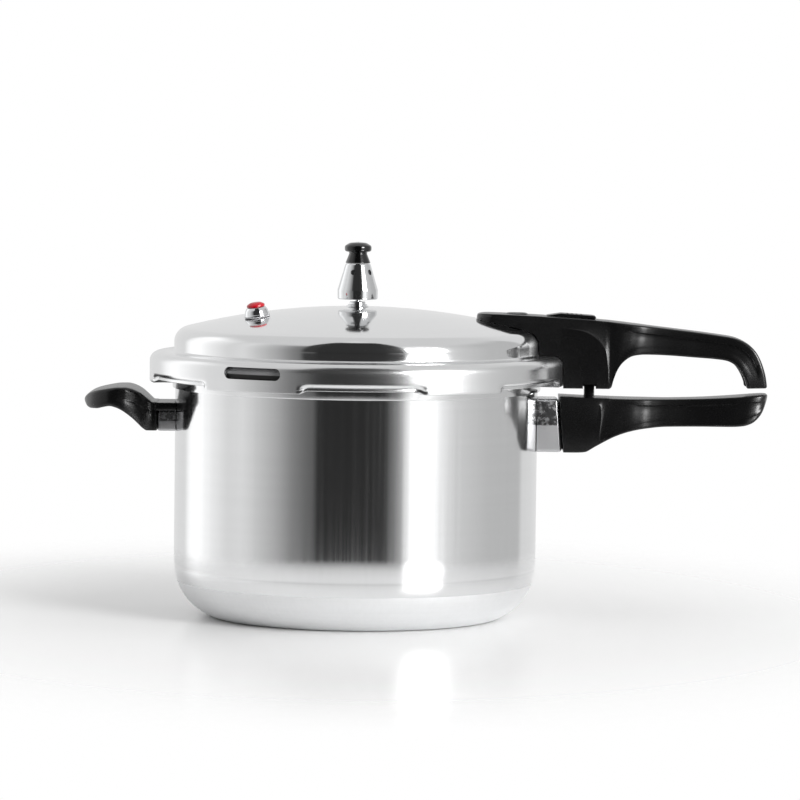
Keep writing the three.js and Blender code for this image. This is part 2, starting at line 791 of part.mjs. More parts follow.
function safetyValvePlug() {
  return onValveAxis(solid(turned([
    [0, -10.5],
    [2.6, -10.5],
    [2.6, 6.9],
    [5.9, 6.9],
    [5.9, 8.6],
    [4.6, 9.7],
    [0, 10.2],
  ], 16)));
}

// ---------------------------------------------------------------- pressure indicator

function indicatorGuide() {
  return turned([
    [2.6, 184.6],
    [4, 184.6],
    [4, 193.9],
    [5.2, 193.9],
    [5.2, 195.4],
    [2.6, 195.4],
    [2.6, 184.6],
  ], 16).translate(INDICATOR_X, 0, 0);
}

function indicatorPin() {
  return turned([
    [0, 179.5],
    [3.6, 179.5],
    [3.6, 181],
    [1.9, 181.4],
    [1.9, 198.7],
    [0, 198.7],
  ], 14).translate(INDICATOR_X, 0, 0);
}

// The disc over the pin, sunk in the nose of the lid handle, which rises with the pin.
function indicatorButton() {
  return turned([
    [0, 199],
    [7.9, 199],
    [7.9, 201],
    [7, 201.7],
    [0, 201.9],
  ], 20).translate(INDICATOR_X, 0, 0);
}

// ---------------------------------------------------------------- lock slider

// Thumb slide on the lid handle: a plate on top, a leg down through the block, a foot under it
// and a fork at the end of the foot that closes round the boss of the pot handle.
function lockSlider() {
  const plate = new THREE.Shape();
  plate.moveTo(124.6, 0.4);
  plate.lineTo(157, 0.4);
  plate.lineTo(157.4, 1.2);
  plate.quadraticCurveTo(157.3, 2.5, 155.6, 2.5);
  plate.lineTo(134.6, 2.5);
  const sloped = sideProfile(plate, 16, 0.2).translate(-125.3, 0, 0).rotateY(SLIDER_SLOPE);
  const [legX0, legX1] = LEG_X;
  const [prongX0, prongX1] = PRONG_X;
  const [footZ, ankleZ] = [155.9, 157.6];
  return joined(
    solid(sloped.translate(125.3, 0, 199.95)),
    solid(box(legX0, legX1, -3, 3, footZ, 199)),
    solid(box(legX0, prongX1, -3, 3, footZ, ankleZ)),
    solid(box(prongX0, prongX1, -8.7, 8.7, footZ, ankleZ)),
    solid(box(prongX0, prongX1, 5.4, 8.7, 153.3, ankleZ)),
    solid(box(prongX0, prongX1, -8.7, -5.4, 153.3, ankleZ)),
  );
}

// ---------------------------------------------------------------- assembly

const group = new THREE.Group();

function place(name, shape, material) {
  const geometry = shape.isBufferGeometry ? shape : geometryOf(shape);
  const mesh = new THREE.Mesh(geometry, material);
  mesh.name = name;
  group.add(mesh);
  return mesh;
}

place('pot_shell', potShell(), finishes.polished);
place('pot_handle_bracket', potHandleBracket(), finishes.chrome);
place('pot_handle_grip', potHandleGrip(), finishes.bakelite);
place('pot_handle_boss', boss(), finishes.bakelite);
place('pot_handle_screw', potHandleScrew(), finishes.steel);
potRivetPlaces().forEach(([y, z], i) => {
  place(`pot_bracket_rivet_${i + 1}`, rivet(POT_R - POT_WALL - 1, 123.1, y, z), finishes.steel);
});

place('helper_bracket', helperBracket(), finishes.chrome);
place('helper_handle_grip', helperHandleGrip(), finishes.bakelite);
place('helper_handle_screw', helperHandleScrew(), finishes.steel);
helperRivetPlaces().forEach(([y, z], i) => {
  const name = `helper_bracket_rivet_${i + 1}`;
  place(name, rivet(-(POT_R - POT_WALL - 2), -122.5, y, z), finishes.steel);
});

place('canning_rack', canningRack(), finishes.satin);
place('sealing_gasket', sealingGasket(), finishes.gasket);

place('lid_shell', lidShell(), finishes.polished);
place('lid_handle_bracket', lidHandleBracket(), finishes.steel);
place('lid_handle_grip', lidHandleGrip(), finishes.bakelite);
lidScrewPlaces().forEach(([x, y], i) => {
  place(`lid_handle_screw_${i + 1}`, lidHandleScrew(), finishes.steel).position.set(x, y, 0);
});
lidRivetPlaces().forEach(([y, z], i) => {
  place(`lid_bracket_rivet_${i + 1}`, rivet(DOME_R - LID_SHEET - 1.7, 123.9, y, z, 2.8), finishes.steel);
});

place('vent_pipe', ventPipe(), finishes.steel);
place('vent_washer', ventWasher(), finishes.steel);
place('vent_nut', ventNut(), finishes.steel);
place('regulator_weight', regulatorWeight(), finishes.chrome);
place('regulator_needle', regulatorNeedle(), finishes.steel);
place('regulator_knob', regulatorKnob(), finishes.knob);

place('safety_valve_body', safetyValveBody(), finishes.chrome);
place('safety_valve_washer', safetyValveWasher(), finishes.gasket);
place('safety_valve_nut', safetyValveNut(), finishes.steel);
place('safety_valve_plug', safetyValvePlug(), finishes.red);

place('indicator_guide', indicatorGuide(), finishes.steel);
place('indicator_pin', indicatorPin(), finishes.steel);
place('indicator_button', indicatorButton(), finishes.knob);

place('lock_slider', lockSlider(), finishes.bakelite);

export default group;
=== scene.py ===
"""Looks of a stovetop pressure canner: polished pot and bayonet lid, black handles, weight and valve.

Sizes are in millimetres in the row frame (+Z up, +X along the long handles) and become metres
where a mesh is made.
"""

import logging
import math
from collections.abc import Callable, Iterable, Sequence
from dataclasses import dataclass
from enum import Enum
from typing import Any

import bmesh
import bpy
from mathutils import Matrix, Vector

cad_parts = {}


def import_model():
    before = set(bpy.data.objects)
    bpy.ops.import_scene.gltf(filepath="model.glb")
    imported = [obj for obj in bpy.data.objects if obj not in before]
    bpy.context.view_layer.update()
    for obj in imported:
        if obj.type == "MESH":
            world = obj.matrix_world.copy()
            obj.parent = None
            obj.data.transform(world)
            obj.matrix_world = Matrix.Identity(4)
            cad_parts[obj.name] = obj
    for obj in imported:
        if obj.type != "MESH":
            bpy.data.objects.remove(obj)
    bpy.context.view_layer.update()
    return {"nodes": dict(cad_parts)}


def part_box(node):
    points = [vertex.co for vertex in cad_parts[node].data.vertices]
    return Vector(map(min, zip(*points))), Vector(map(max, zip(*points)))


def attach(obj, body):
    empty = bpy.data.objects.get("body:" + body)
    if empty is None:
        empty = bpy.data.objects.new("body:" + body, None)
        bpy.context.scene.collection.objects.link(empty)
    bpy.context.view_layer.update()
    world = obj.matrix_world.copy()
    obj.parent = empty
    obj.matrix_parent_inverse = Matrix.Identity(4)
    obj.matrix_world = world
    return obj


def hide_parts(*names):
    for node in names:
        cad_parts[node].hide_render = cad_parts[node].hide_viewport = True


MM = 0.001
GAP = 0.3
LUGS = 6
Point = tuple[float, float]
Place = tuple[float, float, float]
log = logging.getLogger("canner")


class Body(Enum):
    """Bodies of the canner that move against each other."""

    POT = "pot"
    GASKET = "gasket"
    LID = "lid"
    REGULATOR = "regulator"
    PLUG = "safety_plug"
    INDICATOR = "indicator"
    LOCK = "lock"


class Slot(Enum):
    """Names of material slots."""

    POLISHED = "polished_aluminium"
    SATIN = "satin_aluminium"
    CHROME = "chrome"
    STEEL = "steel"
    PHENOLIC = "phenolic"
    KNOB = "black_knob"
    RED = "red_plug"
    SEAL = "grey_seal"


# ---------------------------------------------------------------- shader graph


class Graph:
    """Node tree of one finish."""

    def __init__(self, tree: bpy.types.NodeTree) -> None:
        """Starts from an empty tree.

        Args:
            tree: Tree to fill.
        """
        self.tree = tree
        tree.nodes.clear()

    def add(self, kind: str, settings: dict[str, Any], inputs: dict[Any, Any]) -> bpy.types.Node:
        """Adds one node.

        Args:
            kind: Type name of the node.
            settings: Its own properties, set first, with "stops" for a ramp.
            inputs: Values or links by socket name or number.

        Returns:
            The new node.
        """
        node = self.tree.nodes.new(kind)
        for name, setting in settings.items():
            if name == "stops":
                self._set_stops(node.color_ramp, setting)
            else:
                setattr(node, name, setting)
        for key, value in inputs.items():
            if isinstance(value, Channel):
                self.tree.links.new(value.socket, node.inputs[key])
            elif isinstance(value, bpy.types.NodeSocket):
                self.tree.links.new(value, node.inputs[key])
            else:
                node.inputs[key].default_value = value
        return node

    @staticmethod
    def _set_stops(ramp: bpy.types.ColorRamp, stops: Sequence[tuple[float, float]]) -> None:
        """Gives a ramp its grey stops.

        Args:
            ramp: Ramp of a node.
            stops: Position and level of each stop, in order.
        """
        while len(ramp.elements) > 1:
            ramp.elements.remove(ramp.elements[-1])
        for number, (position, level) in enumerate(stops):
            element = ramp.elements[0] if number == 0 else ramp.elements.new(position)
            element.position = position
            element.color = (level, level, level, 1.0)

    def channel(self, kind: str, settings: dict[str, Any], inputs: dict[Any, Any]) -> "Channel":
        """Adds a node and returns its first output for arithmetic."""
        return Channel(self, self.add(kind, settings, inputs).outputs[0])

    def position(self) -> bpy.types.NodeSocket:
        """Place on the piece, in the row frame, in metres."""
        return self.add("ShaderNodeTexCoord", {}, {}).outputs["Object"]

    def split(self, vector: bpy.types.NodeSocket) -> tuple["Channel", "Channel", "Channel"]:
        """Takes a vector apart.

        Args:
            vector: Vector output.

        Returns:
            Its X, Y and Z.
        """
        node = self.add("ShaderNodeSeparateXYZ", {}, {0: vector})
        return tuple(Channel(self, output) for output in node.outputs)

    def join(self, x: Any, y: Any, z: Any) -> bpy.types.NodeSocket:
        """Makes a vector of three values."""
        return self.add("ShaderNodeCombineXYZ", {}, {0: x, 1: y, 2: z}).outputs[0]

    def noise(self, vector: Any, scale: float, detail: float = 2.0) -> "Channel":
        """Soft noise between 0 and 1.

        Args:
            vector: Coordinates.
            scale: Repeats per metre.
            detail: Octaves.

        Returns:
            The noise level.
        """
        inputs = {"Vector": vector, "Scale": scale, "Detail": detail}
        return self.channel("ShaderNodeTexNoise", {}, inputs)

    def ease(self, value: Any, low: float, high: float) -> "Channel":
        """Rises smoothly from 0 at low to 1 at high."""
        settings = {"interpolation_type": "SMOOTHSTEP"}
        return self.channel("ShaderNodeMapRange", settings, {0: value, 1: low, 2: high})

    def tint(self, factor: Any, first: Any, second: Any) -> Any:
        """Mixes two colours.

        Args:
            factor: Share of the second colour.
            first: Colour or socket at 0.
            second: Colour or socket at 1.

        Returns:
            The mixed colour's socket.
        """
        inputs = {0: factor, 6: self._colour(first), 7: self._colour(second)}
        return self.add("ShaderNodeMix", {"data_type": "RGBA"}, inputs).outputs[2]

    @staticmethod
    def _colour(value: Any) -> Any:
        """Gives a plain colour its alpha and leaves a socket as it is."""
        return value if isinstance(value, bpy.types.NodeSocket) else (*value, 1.0)

    def bump(self, height: Any, depth: float, under: Any = None) -> bpy.types.NodeSocket:
        """Turns a height into a normal.

        Args:
            height: Height between 0 and 1.
            depth: Real depth in metres.
            under: Normal of a coarser bump below this one.

        Returns:
            The normal's socket.
        """
        inputs: dict[Any, Any] = {"Height": height, "Distance": depth, "Strength": 1.0}
        if under is not None:
            inputs["Normal"] = under
        return self.add("ShaderNodeBump", {}, inputs).outputs[0]


class Channel:
    """Output of a shader node that takes part in arithmetic."""

    def __init__(self, graph: Graph, socket: bpy.types.NodeSocket) -> None:
        """Wraps a socket of a graph."""
        self.graph = graph
        self.socket = socket

    def _maths(self, operation: str, first: Any, second: Any = 0.0) -> "Channel":
        """Adds one Math node.

        Args:
            operation: Name of the operation.
            first: First value.
            second: Second value.

        Returns:
            Its result.
        """
        return self.graph.channel("ShaderNodeMath", {"operation": operation}, {0: first, 1: second})

    def __add__(self, other: Any) -> "Channel":
        """Sum."""
        return self._maths("ADD", self, other)

    def __radd__(self, other: Any) -> "Channel":
        """Sum, with the value second."""
        return self._maths("ADD", other, self)

    def __sub__(self, other: Any) -> "Channel":
        """Difference."""
        return self._maths("SUBTRACT", self, other)

    def __rsub__(self, other: Any) -> "Channel":
        """Difference, with the value second."""
        return self._maths("SUBTRACT", other, self)

    def __mul__(self, other: Any) -> "Channel":
        """Product."""
        return self._maths("MULTIPLY", self, other)

    def __rmul__(self, other: Any) -> "Channel":
        """Product, with the value second."""
        return self._maths("MULTIPLY", other, self)

    def __truediv__(self, other: Any) -> "Channel":
        """Quotient."""
        return self._maths("DIVIDE", self, other)

    def __neg__(self) -> "Channel":
        """The value with its sign changed."""
        return self._maths("MULTIPLY", self, -1.0)

    def distance(self, other: "Channel") -> "Channel":
        """Length of the two values taken as the sides of a right angle."""
        return self._maths("SQRT", self * self + other * other)

    def bearing(self, other: "Channel") -> "Channel":
        """Angle whose tangent is this value over the other."""
        return self._maths("ARCTAN2", self, other)


def new_material(name: str) -> tuple[bpy.types.Material, Graph]:
    """Makes a material with an empty graph.

    Args:
        name: Name of the material.

    Returns:
        The material and its graph.
    """
    material = bpy.data.materials.new(name)
    material.use_nodes = True
    return material, Graph(material.node_tree)


def close_graph(graph: Graph, inputs: dict[str, Any]) -> None:
    """Adds the surface shader and the output.

    Args:
        graph: Graph of the finish.
        inputs: Sockets of the surface shader.
    """
    surface = graph.add("ShaderNodeBsdfPrincipled", {}, inputs)
    graph.add("ShaderNodeOutputMaterial", {}, {"Surface": surface.outputs[0]})


# ---------------------------------------------------------------- finishes


@dataclass(frozen=True)
class PolishedAluminium:
    """Buffed aluminium with faint turning lines and upright streaks, satin under a seam."""

    name: str
    colour: Place = (0.86, 0.865, 0.87)
    roughness: float = 0.045
    satin_roughness: float = 0.33
    satin_below: float = -1.0
    streak: float = 0.0
    line_depth: float = 0.0000012
    wave_depth: float = 0.00016

    def material(self) -> bpy.types.Material:
        """Builds the material.

        Returns:
            Metal whose lines run round the Z axis.
        """
        material, graph = new_material(self.name)
        place = graph.position()
        x, y, z = graph.split(place)
        along = x.distance(y) + z
        lines = graph.noise(graph.join(along * 1800.0, x * 14.0, y * 14.0), 1.0, 3.0)
        broad = graph.noise(graph.join(along * 260.0, x * 5.0, y * 5.0), 1.0, 2.0)
        smudges = graph.noise(place, 16.0, 4.0)
        waves = graph.noise(graph.join(x * 7.0, y * 7.0, z * 3.0), 1.0, 1.0)
        satin = 1.0 - graph.ease(z, self.satin_below - 0.0007, self.satin_below + 0.0007)
        streaks = graph.noise(graph.join(x * 420.0, y * 420.0, z * 3.0), 1.0, 3.0)
        grain = 0.012 * lines + 0.02 * smudges + 0.012 * broad + self.streak * streaks
        rough = self.roughness - 0.02 + grain + satin * (self.satin_roughness + 0.12 * broad)
        dark = tuple(0.9 * part for part in self.colour)
        colour = graph.tint(0.4 * broad + 0.4 * smudges + 0.3 * streaks, self.colour, dark)
        wavy = graph.bump(waves, self.wave_depth)
        marks = lines * (1.0 + 9.0 * satin) + 3.0 * self.streak * streaks
        lined = graph.bump(marks, self.line_depth, wavy)
        close_graph(
            graph,
            {"Base Color": colour, "Metallic": 1.0, "Roughness": rough, "Normal": lined},
        )
        return material


@dataclass(frozen=True)
class Plating:
    """Bright plated or bare steel."""

    name: str
    colour: Place
    roughness: float
    scratch: float
    dull_below: float = -1.0
    mottle: float = 0.0

    def material(self) -> bpy.types.Material:
        """Builds the material.

        Returns:
            Metal with fine scratches and a cloudy sheen, dull under a line.
        """
        material, graph = new_material(self.name)
        place = graph.position()
        x, y, z = graph.split(place)
        hair = graph.noise(graph.join(x * 90.0, y * 90.0, z * 1500.0), 1.0, 3.0)
        cloud = graph.noise(place, 60.0, 3.0)
        dark = tuple(0.86 * part for part in self.colour)
        blots = graph.ease(graph.noise(place, 420.0, 5.0), 0.4, 0.7)
        dull = 1.0 - graph.ease(z, self.dull_below - 0.0004, self.dull_below + 0.0004)
        wear = self.mottle * blots * (1.0 - dull) + 0.22 * dull
        close_graph(
            graph,
            {
                "Base Color": graph.tint(0.4 * hair + 0.5 * cloud, self.colour, dark),
                "Metallic": 1.0,
                "Roughness": self.roughness + self.scratch * hair + 0.05 * cloud + wear,
                "Normal": graph.bump(hair, 0.000012 * self.scratch),
            },
        )
        return material


@dataclass(frozen=True)
class Moulding:
    """Moulded plastic with a skin, from satin phenolic to glossy knobs and soft rubber."""

    name: str
    colour: Place
    roughness: float
    grain: float = 0.05
    peel_depth: float = 0.00003
    pore_depth: float = 0.000006
    coat: float = 0.0
    bloom: float = 0.0006
    # Height in metres below which the colour is painted near black as painted shade; off unless
    # positive.
    painted_shade_below: float = -1.0

    def material(self) -> bpy.types.Material:
        """Builds the material.

        Returns:
            Plastic with a slightly uneven skin.
        """
        material, graph = new_material(self.name)
        place = graph.position()
        cloud = graph.noise(place, 34.0, 4.0)
        pores = graph.noise(place, 2600.0, 2.0)
        peel = graph.noise(place, 240.0, 2.0)
        light = tuple(part * 1.7 + self.bloom for part in self.colour)
        skin = graph.bump(peel, self.peel_depth)
        colour = graph.tint(0.35 * cloud + 0.25 * pores, self.colour, light)
        # Painted shade: below the given height the colour turns near black, standing in for the
        # shadow in a recess.
        if self.painted_shade_below > 0:
            height = graph.split(place)[2]
            lit = graph.ease(height, self.painted_shade_below - 0.0003, self.painted_shade_below + 0.0003)
            colour = graph.tint(lit, (0.004, 0.004, 0.004), colour)
        close_graph(
            graph,
            {
                "Base Color": colour,
                "Roughness": self.roughness + self.grain * (cloud - 0.5) + 0.06 * (pores - 0.5),
                "Coat Weight": self.coat * (0.8 + 0.2 * cloud),
                "Coat Roughness": 0.06,
                "Normal": graph.bump(pores, self.pore_depth, skin),
            },
        )
        return material


@dataclass(frozen=True)
class FloorSheet:
    """Pale satin sheet that fades out round the canner."""

    name: str
    colour: Place = (0.83, 0.83, 0.83)
    fade_from: float = 0.13
    fade_to: float = 0.33

    def material(self) -> bpy.types.Material:
        """Builds the material.

        Returns:
            White sheet, clear beyond its fading edge.
        """
        material, graph = new_material(self.name)
        x, y, _ = graph.split(graph.position())
        away = (x * 0.75).distance(y * 0.55)
        inputs = {
            "Base Color": (*self.colour, 1.0),
            "Roughness": 0.22,
            "Specular IOR Level": 0.1,
        }
        sheet = graph.add("ShaderNodeBsdfPrincipled", {}, inputs)
        clear = graph.add("ShaderNodeBsdfTransparent", {}, {})
        fade = graph.ease(away, self.fade_from, self.fade_to)
        mixed = graph.add(
            "ShaderNodeMixShader", {}, {0: fade, 1: sheet.outputs[0], 2: clear.outputs[0]}
        )
        graph.add("ShaderNodeOutputMaterial", {}, {"Surface": mixed.outputs[0]})
        return material


@dataclass(frozen=True)
class Finishes:
    """Every finish of the canner, built once."""

    wall: bpy.types.Material
    lid: bpy.types.Material
    rack: bpy.types.Material
    chrome: bpy.types.Material
    pressed: bpy.types.Material
    steel: bpy.types.Material
    phenolic: bpy.types.Material
    knob: bpy.types.Material
    red: bpy.types.Material
    seal: bpy.types.Material
    washer: bpy.types.Material

    @classmethod
    def made(cls) -> "Finishes":
        """Builds the materials.

        Returns:
            The finishes.
        """
        return cls(
            wall=PolishedAluminium("polished wall", satin_below=0.0235, streak=0.16).material(),
            lid=PolishedAluminium(
                "polished lid", roughness=0.09, satin_below=0.1755, satin_roughness=0.05
            ).material(),
            rack=PolishedAluminium("rolled rack sheet", roughness=0.24).material(),
            chrome=Plating("bright chrome", (0.82, 0.83, 0.84), 0.03, 0.05).material(),
            pressed=Plating(
                "pressed bracket", (0.6, 0.6, 0.61), 0.12, 0.08, dull_below=0.1285, mottle=0.16
            ).material(),
            steel=Plating("bare steel", (0.55, 0.55, 0.56), 0.2, 0.2).material(),
            phenolic=Moulding("satin phenolic", (0.0014, 0.0014, 0.0015), 0.27).material(),
            knob=Moulding(
                "glossy black knob", (0.001, 0.001, 0.0011), 0.12, peel_depth=0.00001, coat=0.5
            ).material(),
            red=Moulding("red plug", (0.36, 0.002, 0.01), 0.3, coat=0.1).material(),
            # Grey silicone with painted shade: near black below 165.6 mm, where the gasket lies in
            # shadow inside the skirt window.
            seal=Moulding(
                "grey silicone", (0.2, 0.2, 0.205), 0.55, grain=0.12, painted_shade_below=0.1656
            ).material(),
            washer=Moulding("pale silicone", (0.42, 0.42, 0.43), 0.5, grain=0.1).material(),
        )


# ---------------------------------------------------------------- profiles and meshes


def filleted(corners: Iterable[Place], steps: int = 4) -> list[Point]:
    """Rounds the corners of an open profile.

    Args:
        corners: Across, up and radius of each corner.
        steps: Segments in each round.

    Returns:
        Points of the rounded profile.
    """
    rows = list(corners)
    points: list[Point] = []
    for number, (across, up, radius) in enumerate(rows):
        here = Vector((across, up))
        if radius <= 0 or number in (0, len(rows) - 1):
            points.append((across, up))
            continue
        back = Vector(rows[number - 1][:2]) - here
        ahead = Vector(rows[number + 1][:2]) - here
        half = back.angle(ahead) / 2
        reach = min(radius / math.tan(half), 0.49 * back.length, 0.49 * ahead.length)
        back.normalize()
        ahead.normalize()
        centre = here + (back + ahead).normalized() * (reach / math.cos(half))
        start, end = here + back * reach - centre, here + ahead * reach - centre
        for step in range(steps + 1):
            share = step / steps
            ray = start.lerp(end, share).normalized() * start.length
            points.append(tuple(centre + ray))
    return points


def arc(centre: Point, radius: float, start: float, end: float, steps: int) -> list[Point]:
    """Points on an arc.

    Args:
        centre: Centre of the arc.
        radius: Its radius.
        start: First angle in degrees.
        end: Last angle in degrees.
        steps: Segments.

    Returns:
        Points from start to end.
    """
    angles = [math.radians(start + (end - start) * step / steps) for step in range(steps + 1)]
    return [(centre[0] + radius * math.cos(a), centre[1] + radius * math.sin(a)) for a in angles]


def curve_between(rows: Sequence[Sequence[float]], steps: int) -> list[list[float]]:
    """Fills rows of numbers in with a smooth curve that never overshoots them.

    Args:
        rows: Key rows of equal length.
        steps: Rows for each span.

    Returns:
        The denser rows.
    """
    columns = list(zip(*rows))
    slopes = []
    for column in columns:
        rises = [b - a for a, b in zip(column, column[1:])]
        inner = [
            0.0 if a * b <= 0 else 2 * a * b / (a + b) for a, b in zip(rises, rises[1:])
        ]
        slopes.append([rises[0], *inner, rises[-1]])
    filled = []
    for span in range(len(rows) - 1):
        for step in range(steps):
            t = step / steps
            row = []
            for column, slope in zip(columns, slopes):
                a, b = column[span], column[span + 1]
                rise = (3 * t * t - 2 * t * t * t) * (b - a)
                bend = t * (1 - t) ** 2 * slope[span] - t * t * (1 - t) * slope[span + 1]
                row.append(a + rise + bend)
            filled.append(row)
    filled.append(list(rows[-1]))
    return filled


def made_object(name: str, verts: Sequence[Place], faces: Sequence[Sequence[int]]) -> Any:
    """Makes an object from millimetre vertices.

    Args:
        name: Name of the piece.
        verts: Vertices in millimetres.
        faces: Vertex numbers of each face, anticlockwise from outside.

    Returns:
        The object, linked to the scene.
    """
    mesh = bpy.data.meshes.new(name)
    mesh.from_pydata([tuple(MM * part for part in vert) for vert in verts], [], faces)
    piece = bpy.data.objects.new(name, mesh)
    bpy.context.scene.collection.objects.link(piece)
    return piece


def shaded(piece: bpy.types.Object, crease: float = 32.0) -> bpy.types.Object:
    """Shades a piece smooth and keeps its edges above an angle sharp.

    Args:
        piece: Piece to shade.
        crease: Angle in degrees.

    Returns:
        The piece.
    """
    piece.data.shade_smooth()
    piece.data.set_sharp_from_angle(angle=math.radians(crease))
    return piece


def turned(
    name: str,
    profile: Sequence[Point] | Callable[[float], Sequence[Point]],
    segments: int = 96,
    ring: bool = False,
) -> bpy.types.Object:
    """Turns a profile about the Z axis.

    Args:
        name: Name of the piece.
        profile: Radius and height points, anticlockwise, or a function of the angle in degrees.
        segments: Facets round.
        ring: Whether the profile closes on itself instead of on the axis.

    Returns:
        The closed piece.
    """
    section = profile if callable(profile) else lambda _: profile
    verts: list[Place] = []
    columns: list[list[int]] = []
    for turn in range(segments):
        degrees = 360.0 * turn / segments
        cosine, sine = math.cos(math.radians(degrees)), math.sin(math.radians(degrees))
        column = []
        for number, (radius, height) in enumerate(section(degrees)):
            if radius < 1e-6 and turn > 0:
                column.append(columns[0][number])
                continue
            column.append(len(verts))
            verts.append((radius * cosine, radius * sine, height))
        columns.append(column)
    rows = len(columns[0])
    faces = []
    for turn in range(segments):
        here, there = columns[turn], columns[(turn + 1) % segments]
        for low in range(rows if ring else rows - 1):
            high = (low + 1) % rows
            loop = [here[low], there[low], there[high], here[high]]
            corners = [v for n, v in enumerate(loop) if v != loop[n - 1]]
            if len(set(corners)) > 2:
                faces.append(corners)
    return shaded(made_object(name, verts, faces))


def lofted(name: str, rings: Sequence[Sequence[Place]]) -> bpy.types.Object:
    """Skins a row of rings and closes both ends.

    Args:
        name: Name of the piece.
        rings: Rings of equal length, clockwise seen along the row.

    Returns:
        The closed piece.
    """
    count = len(rings[0])
    verts = [point for ring in rings for point in ring]
    faces: list[list[int]] = []
    for row in range(len(rings) - 1):
        for point in range(count):
            after = (point + 1) % count
            low, high = row * count, (row + 1) * count
            faces.append([low + point, low + after, high + after, high + point])
    faces.append(list(range(count))[::-1])
    faces.append([len(verts) - count + point for point in range(count)])
    piece = made_object(name, verts, faces)
    face_outwards(piece)
    return shaded(piece)


def face_outwards(piece: bpy.types.Object) -> None:
    """Merges doubles and points the faces out.

    Args:
        piece: Closed piece.
    """
    mesh = bmesh.new()
    mesh.from_mesh(piece.data)
    bmesh.ops.remove_doubles(mesh, verts=mesh.verts, dist=1e-7)
    bmesh.ops.recalc_face_normals(mesh, faces=mesh.faces)
    mesh.to_mesh(piece.data)
    mesh.free()


def prism(name: str, outline: Sequence[Point], low: float, high: float, axis: str) -> Any:
    """Raises an outline into a prism.

    Args:
        name: Name of the piece.
        outline: Points across and up, anticlockwise.
        low: Where it starts along the axis.
        high: Where it ends.
        axis: "Z" for an outline in X and Y, "Y" for X and Z, "X" for Y and Z.

    Returns:
        The closed prism.
    """
    order = {
        "Z": lambda a, b, c: (a, b, c),
        "Y": lambda a, b, c: (a, c, b),
        "X": lambda a, b, c: (c, a, b),
    }[axis]
    count = len(outline)
    verts = [order(a, b, level) for level in (low, high) for a, b in outline]
    faces = [list(range(count))[::-1], [count + n for n in range(count)]]
    faces += [[n, (n + 1) % count, count + (n + 1) % count, count + n] for n in range(count)]
    piece = made_object(name, verts, faces)
    face_outwards(piece)
    return piece


def block(x: Point, y: Point, z: Point) -> bpy.types.Object:
    """Makes a box between pairs of limits along X, Y and Z."""
    outline = [(x[0], y[0]), (x[1], y[0]), (x[1], y[1]), (x[0], y[1])]
    return prism("block", outline, z[0], z[1], "Z")


def rounded_plate(x: Point, y: Point, radius: float, steps: int = 6) -> list[Point]:
    """Outline of a rectangle with round corners.

    Args:
        x: Limits across.
        y: Limits up.
        radius: Corner radius.
        steps: Segments at each corner.

    Returns:
        The outline, anticlockwise.
    """
    left, right, low, high = x[0] + radius, x[1] - radius, y[0] + radius, y[1] - radius
    return [
        *arc((right, low), radius, -90, 0, steps),
        *arc((right, high), radius, 0, 90, steps),
        *arc((left, high), radius, 90, 180, steps),
        *arc((left, low), radius, 180, 270, steps),
    ]


def bar(radius: float, low: float, high: float, segments: int = 48) -> bpy.types.Object:
    """Makes a plain round bar on the Z axis, for cutting with."""
    return turned("bar", [(0, low), (radius, low), (radius, high), (0, high)], segments)


def moved(piece: bpy.types.Object, matrix: Matrix) -> bpy.types.Object:
    """Moves a piece's mesh.

    Args:
        piece: Piece whose object stays at the origin.
        matrix: Where its mesh goes, in millimetres.

    Returns:
        The piece.
    """
    metres = matrix.copy()
    metres.translation *= MM
    piece.data.transform(metres)
    return piece


def settled(piece: bpy.types.Object) -> bpy.types.Object:
    """Turns a piece's modifiers into plain mesh.

    Args:
        piece: Piece with modifiers.

    Returns:
        The same object, with its mesh final.
    """
    depsgraph = bpy.context.evaluated_depsgraph_get()
    mesh = bpy.data.meshes.new_from_object(piece.evaluated_get(depsgraph), depsgraph=depsgraph)
    piece.modifiers.clear()
    piece.data = mesh
    return piece


def carved(piece: bpy.types.Object, *cutters: bpy.types.Object) -> bpy.types.Object:
    """Cuts shapes out of a piece.

    Args:
        piece: Closed piece.
        cutters: Closed shapes, used up by the cut.

    Returns:
        The cut piece.
    """
    return combined(piece, "DIFFERENCE", *cutters)


def combined(piece: bpy.types.Object, operation: str, *others: Any) -> bpy.types.Object:
    """Joins, cuts or intersects a piece with others.

    Args:
        piece: Closed piece.
        operation: DIFFERENCE, UNION or INTERSECT.
        others: Closed shapes, used up.

    Returns:
        The piece after the operation.
    """
    for number, other in enumerate(others):
        step = piece.modifiers.new(f"step {number}", "BOOLEAN")
        step.operation = operation
        step.solver = "EXACT"
        step.object = other
    settled(piece)
    for other in others:
        bpy.data.objects.remove(other)
    return shaded(piece)


def softened(piece: bpy.types.Object, width: float, segments: int = 3) -> bpy.types.Object:
    """Rounds a piece's sharp edges.

    Args:
        piece: Piece with sharp edges.
        width: Width of the round in millimetres.
        segments: Its segments.

    Returns:
        The softened piece.
    """
    bevel = piece.modifiers.new("edges", "BEVEL")
    bevel.width = width * MM
    bevel.segments = segments
    bevel.limit_method = "ANGLE"
    bevel.angle_limit = math.radians(35)
    bevel.use_clamp_overlap = True
    return shaded(settled(piece))


def fitted(
    piece: bpy.types.Object,
    material: bpy.types.Material | None,
    body: Body,
    slot: Slot,
    *nodes: str,
) -> bpy.types.Object:
    """Finishes a piece and hands it to its body.

    Args:
        piece: Finished piece.
        material: Its material, or None where it has one already.
        body: Body it rides on.
        slot: Not used.
        nodes: CAD nodes it stands for.

    Returns:
        The piece.
    """
    if material is not None:
        piece.data.materials.clear()
        piece.data.materials.append(material)
    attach(piece, body.value)
    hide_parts(*nodes)
    log.info("%s: %d faces on %s", piece.name, len(piece.data.polygons), body.value)
    return piece


# ---------------------------------------------------------------- repeats


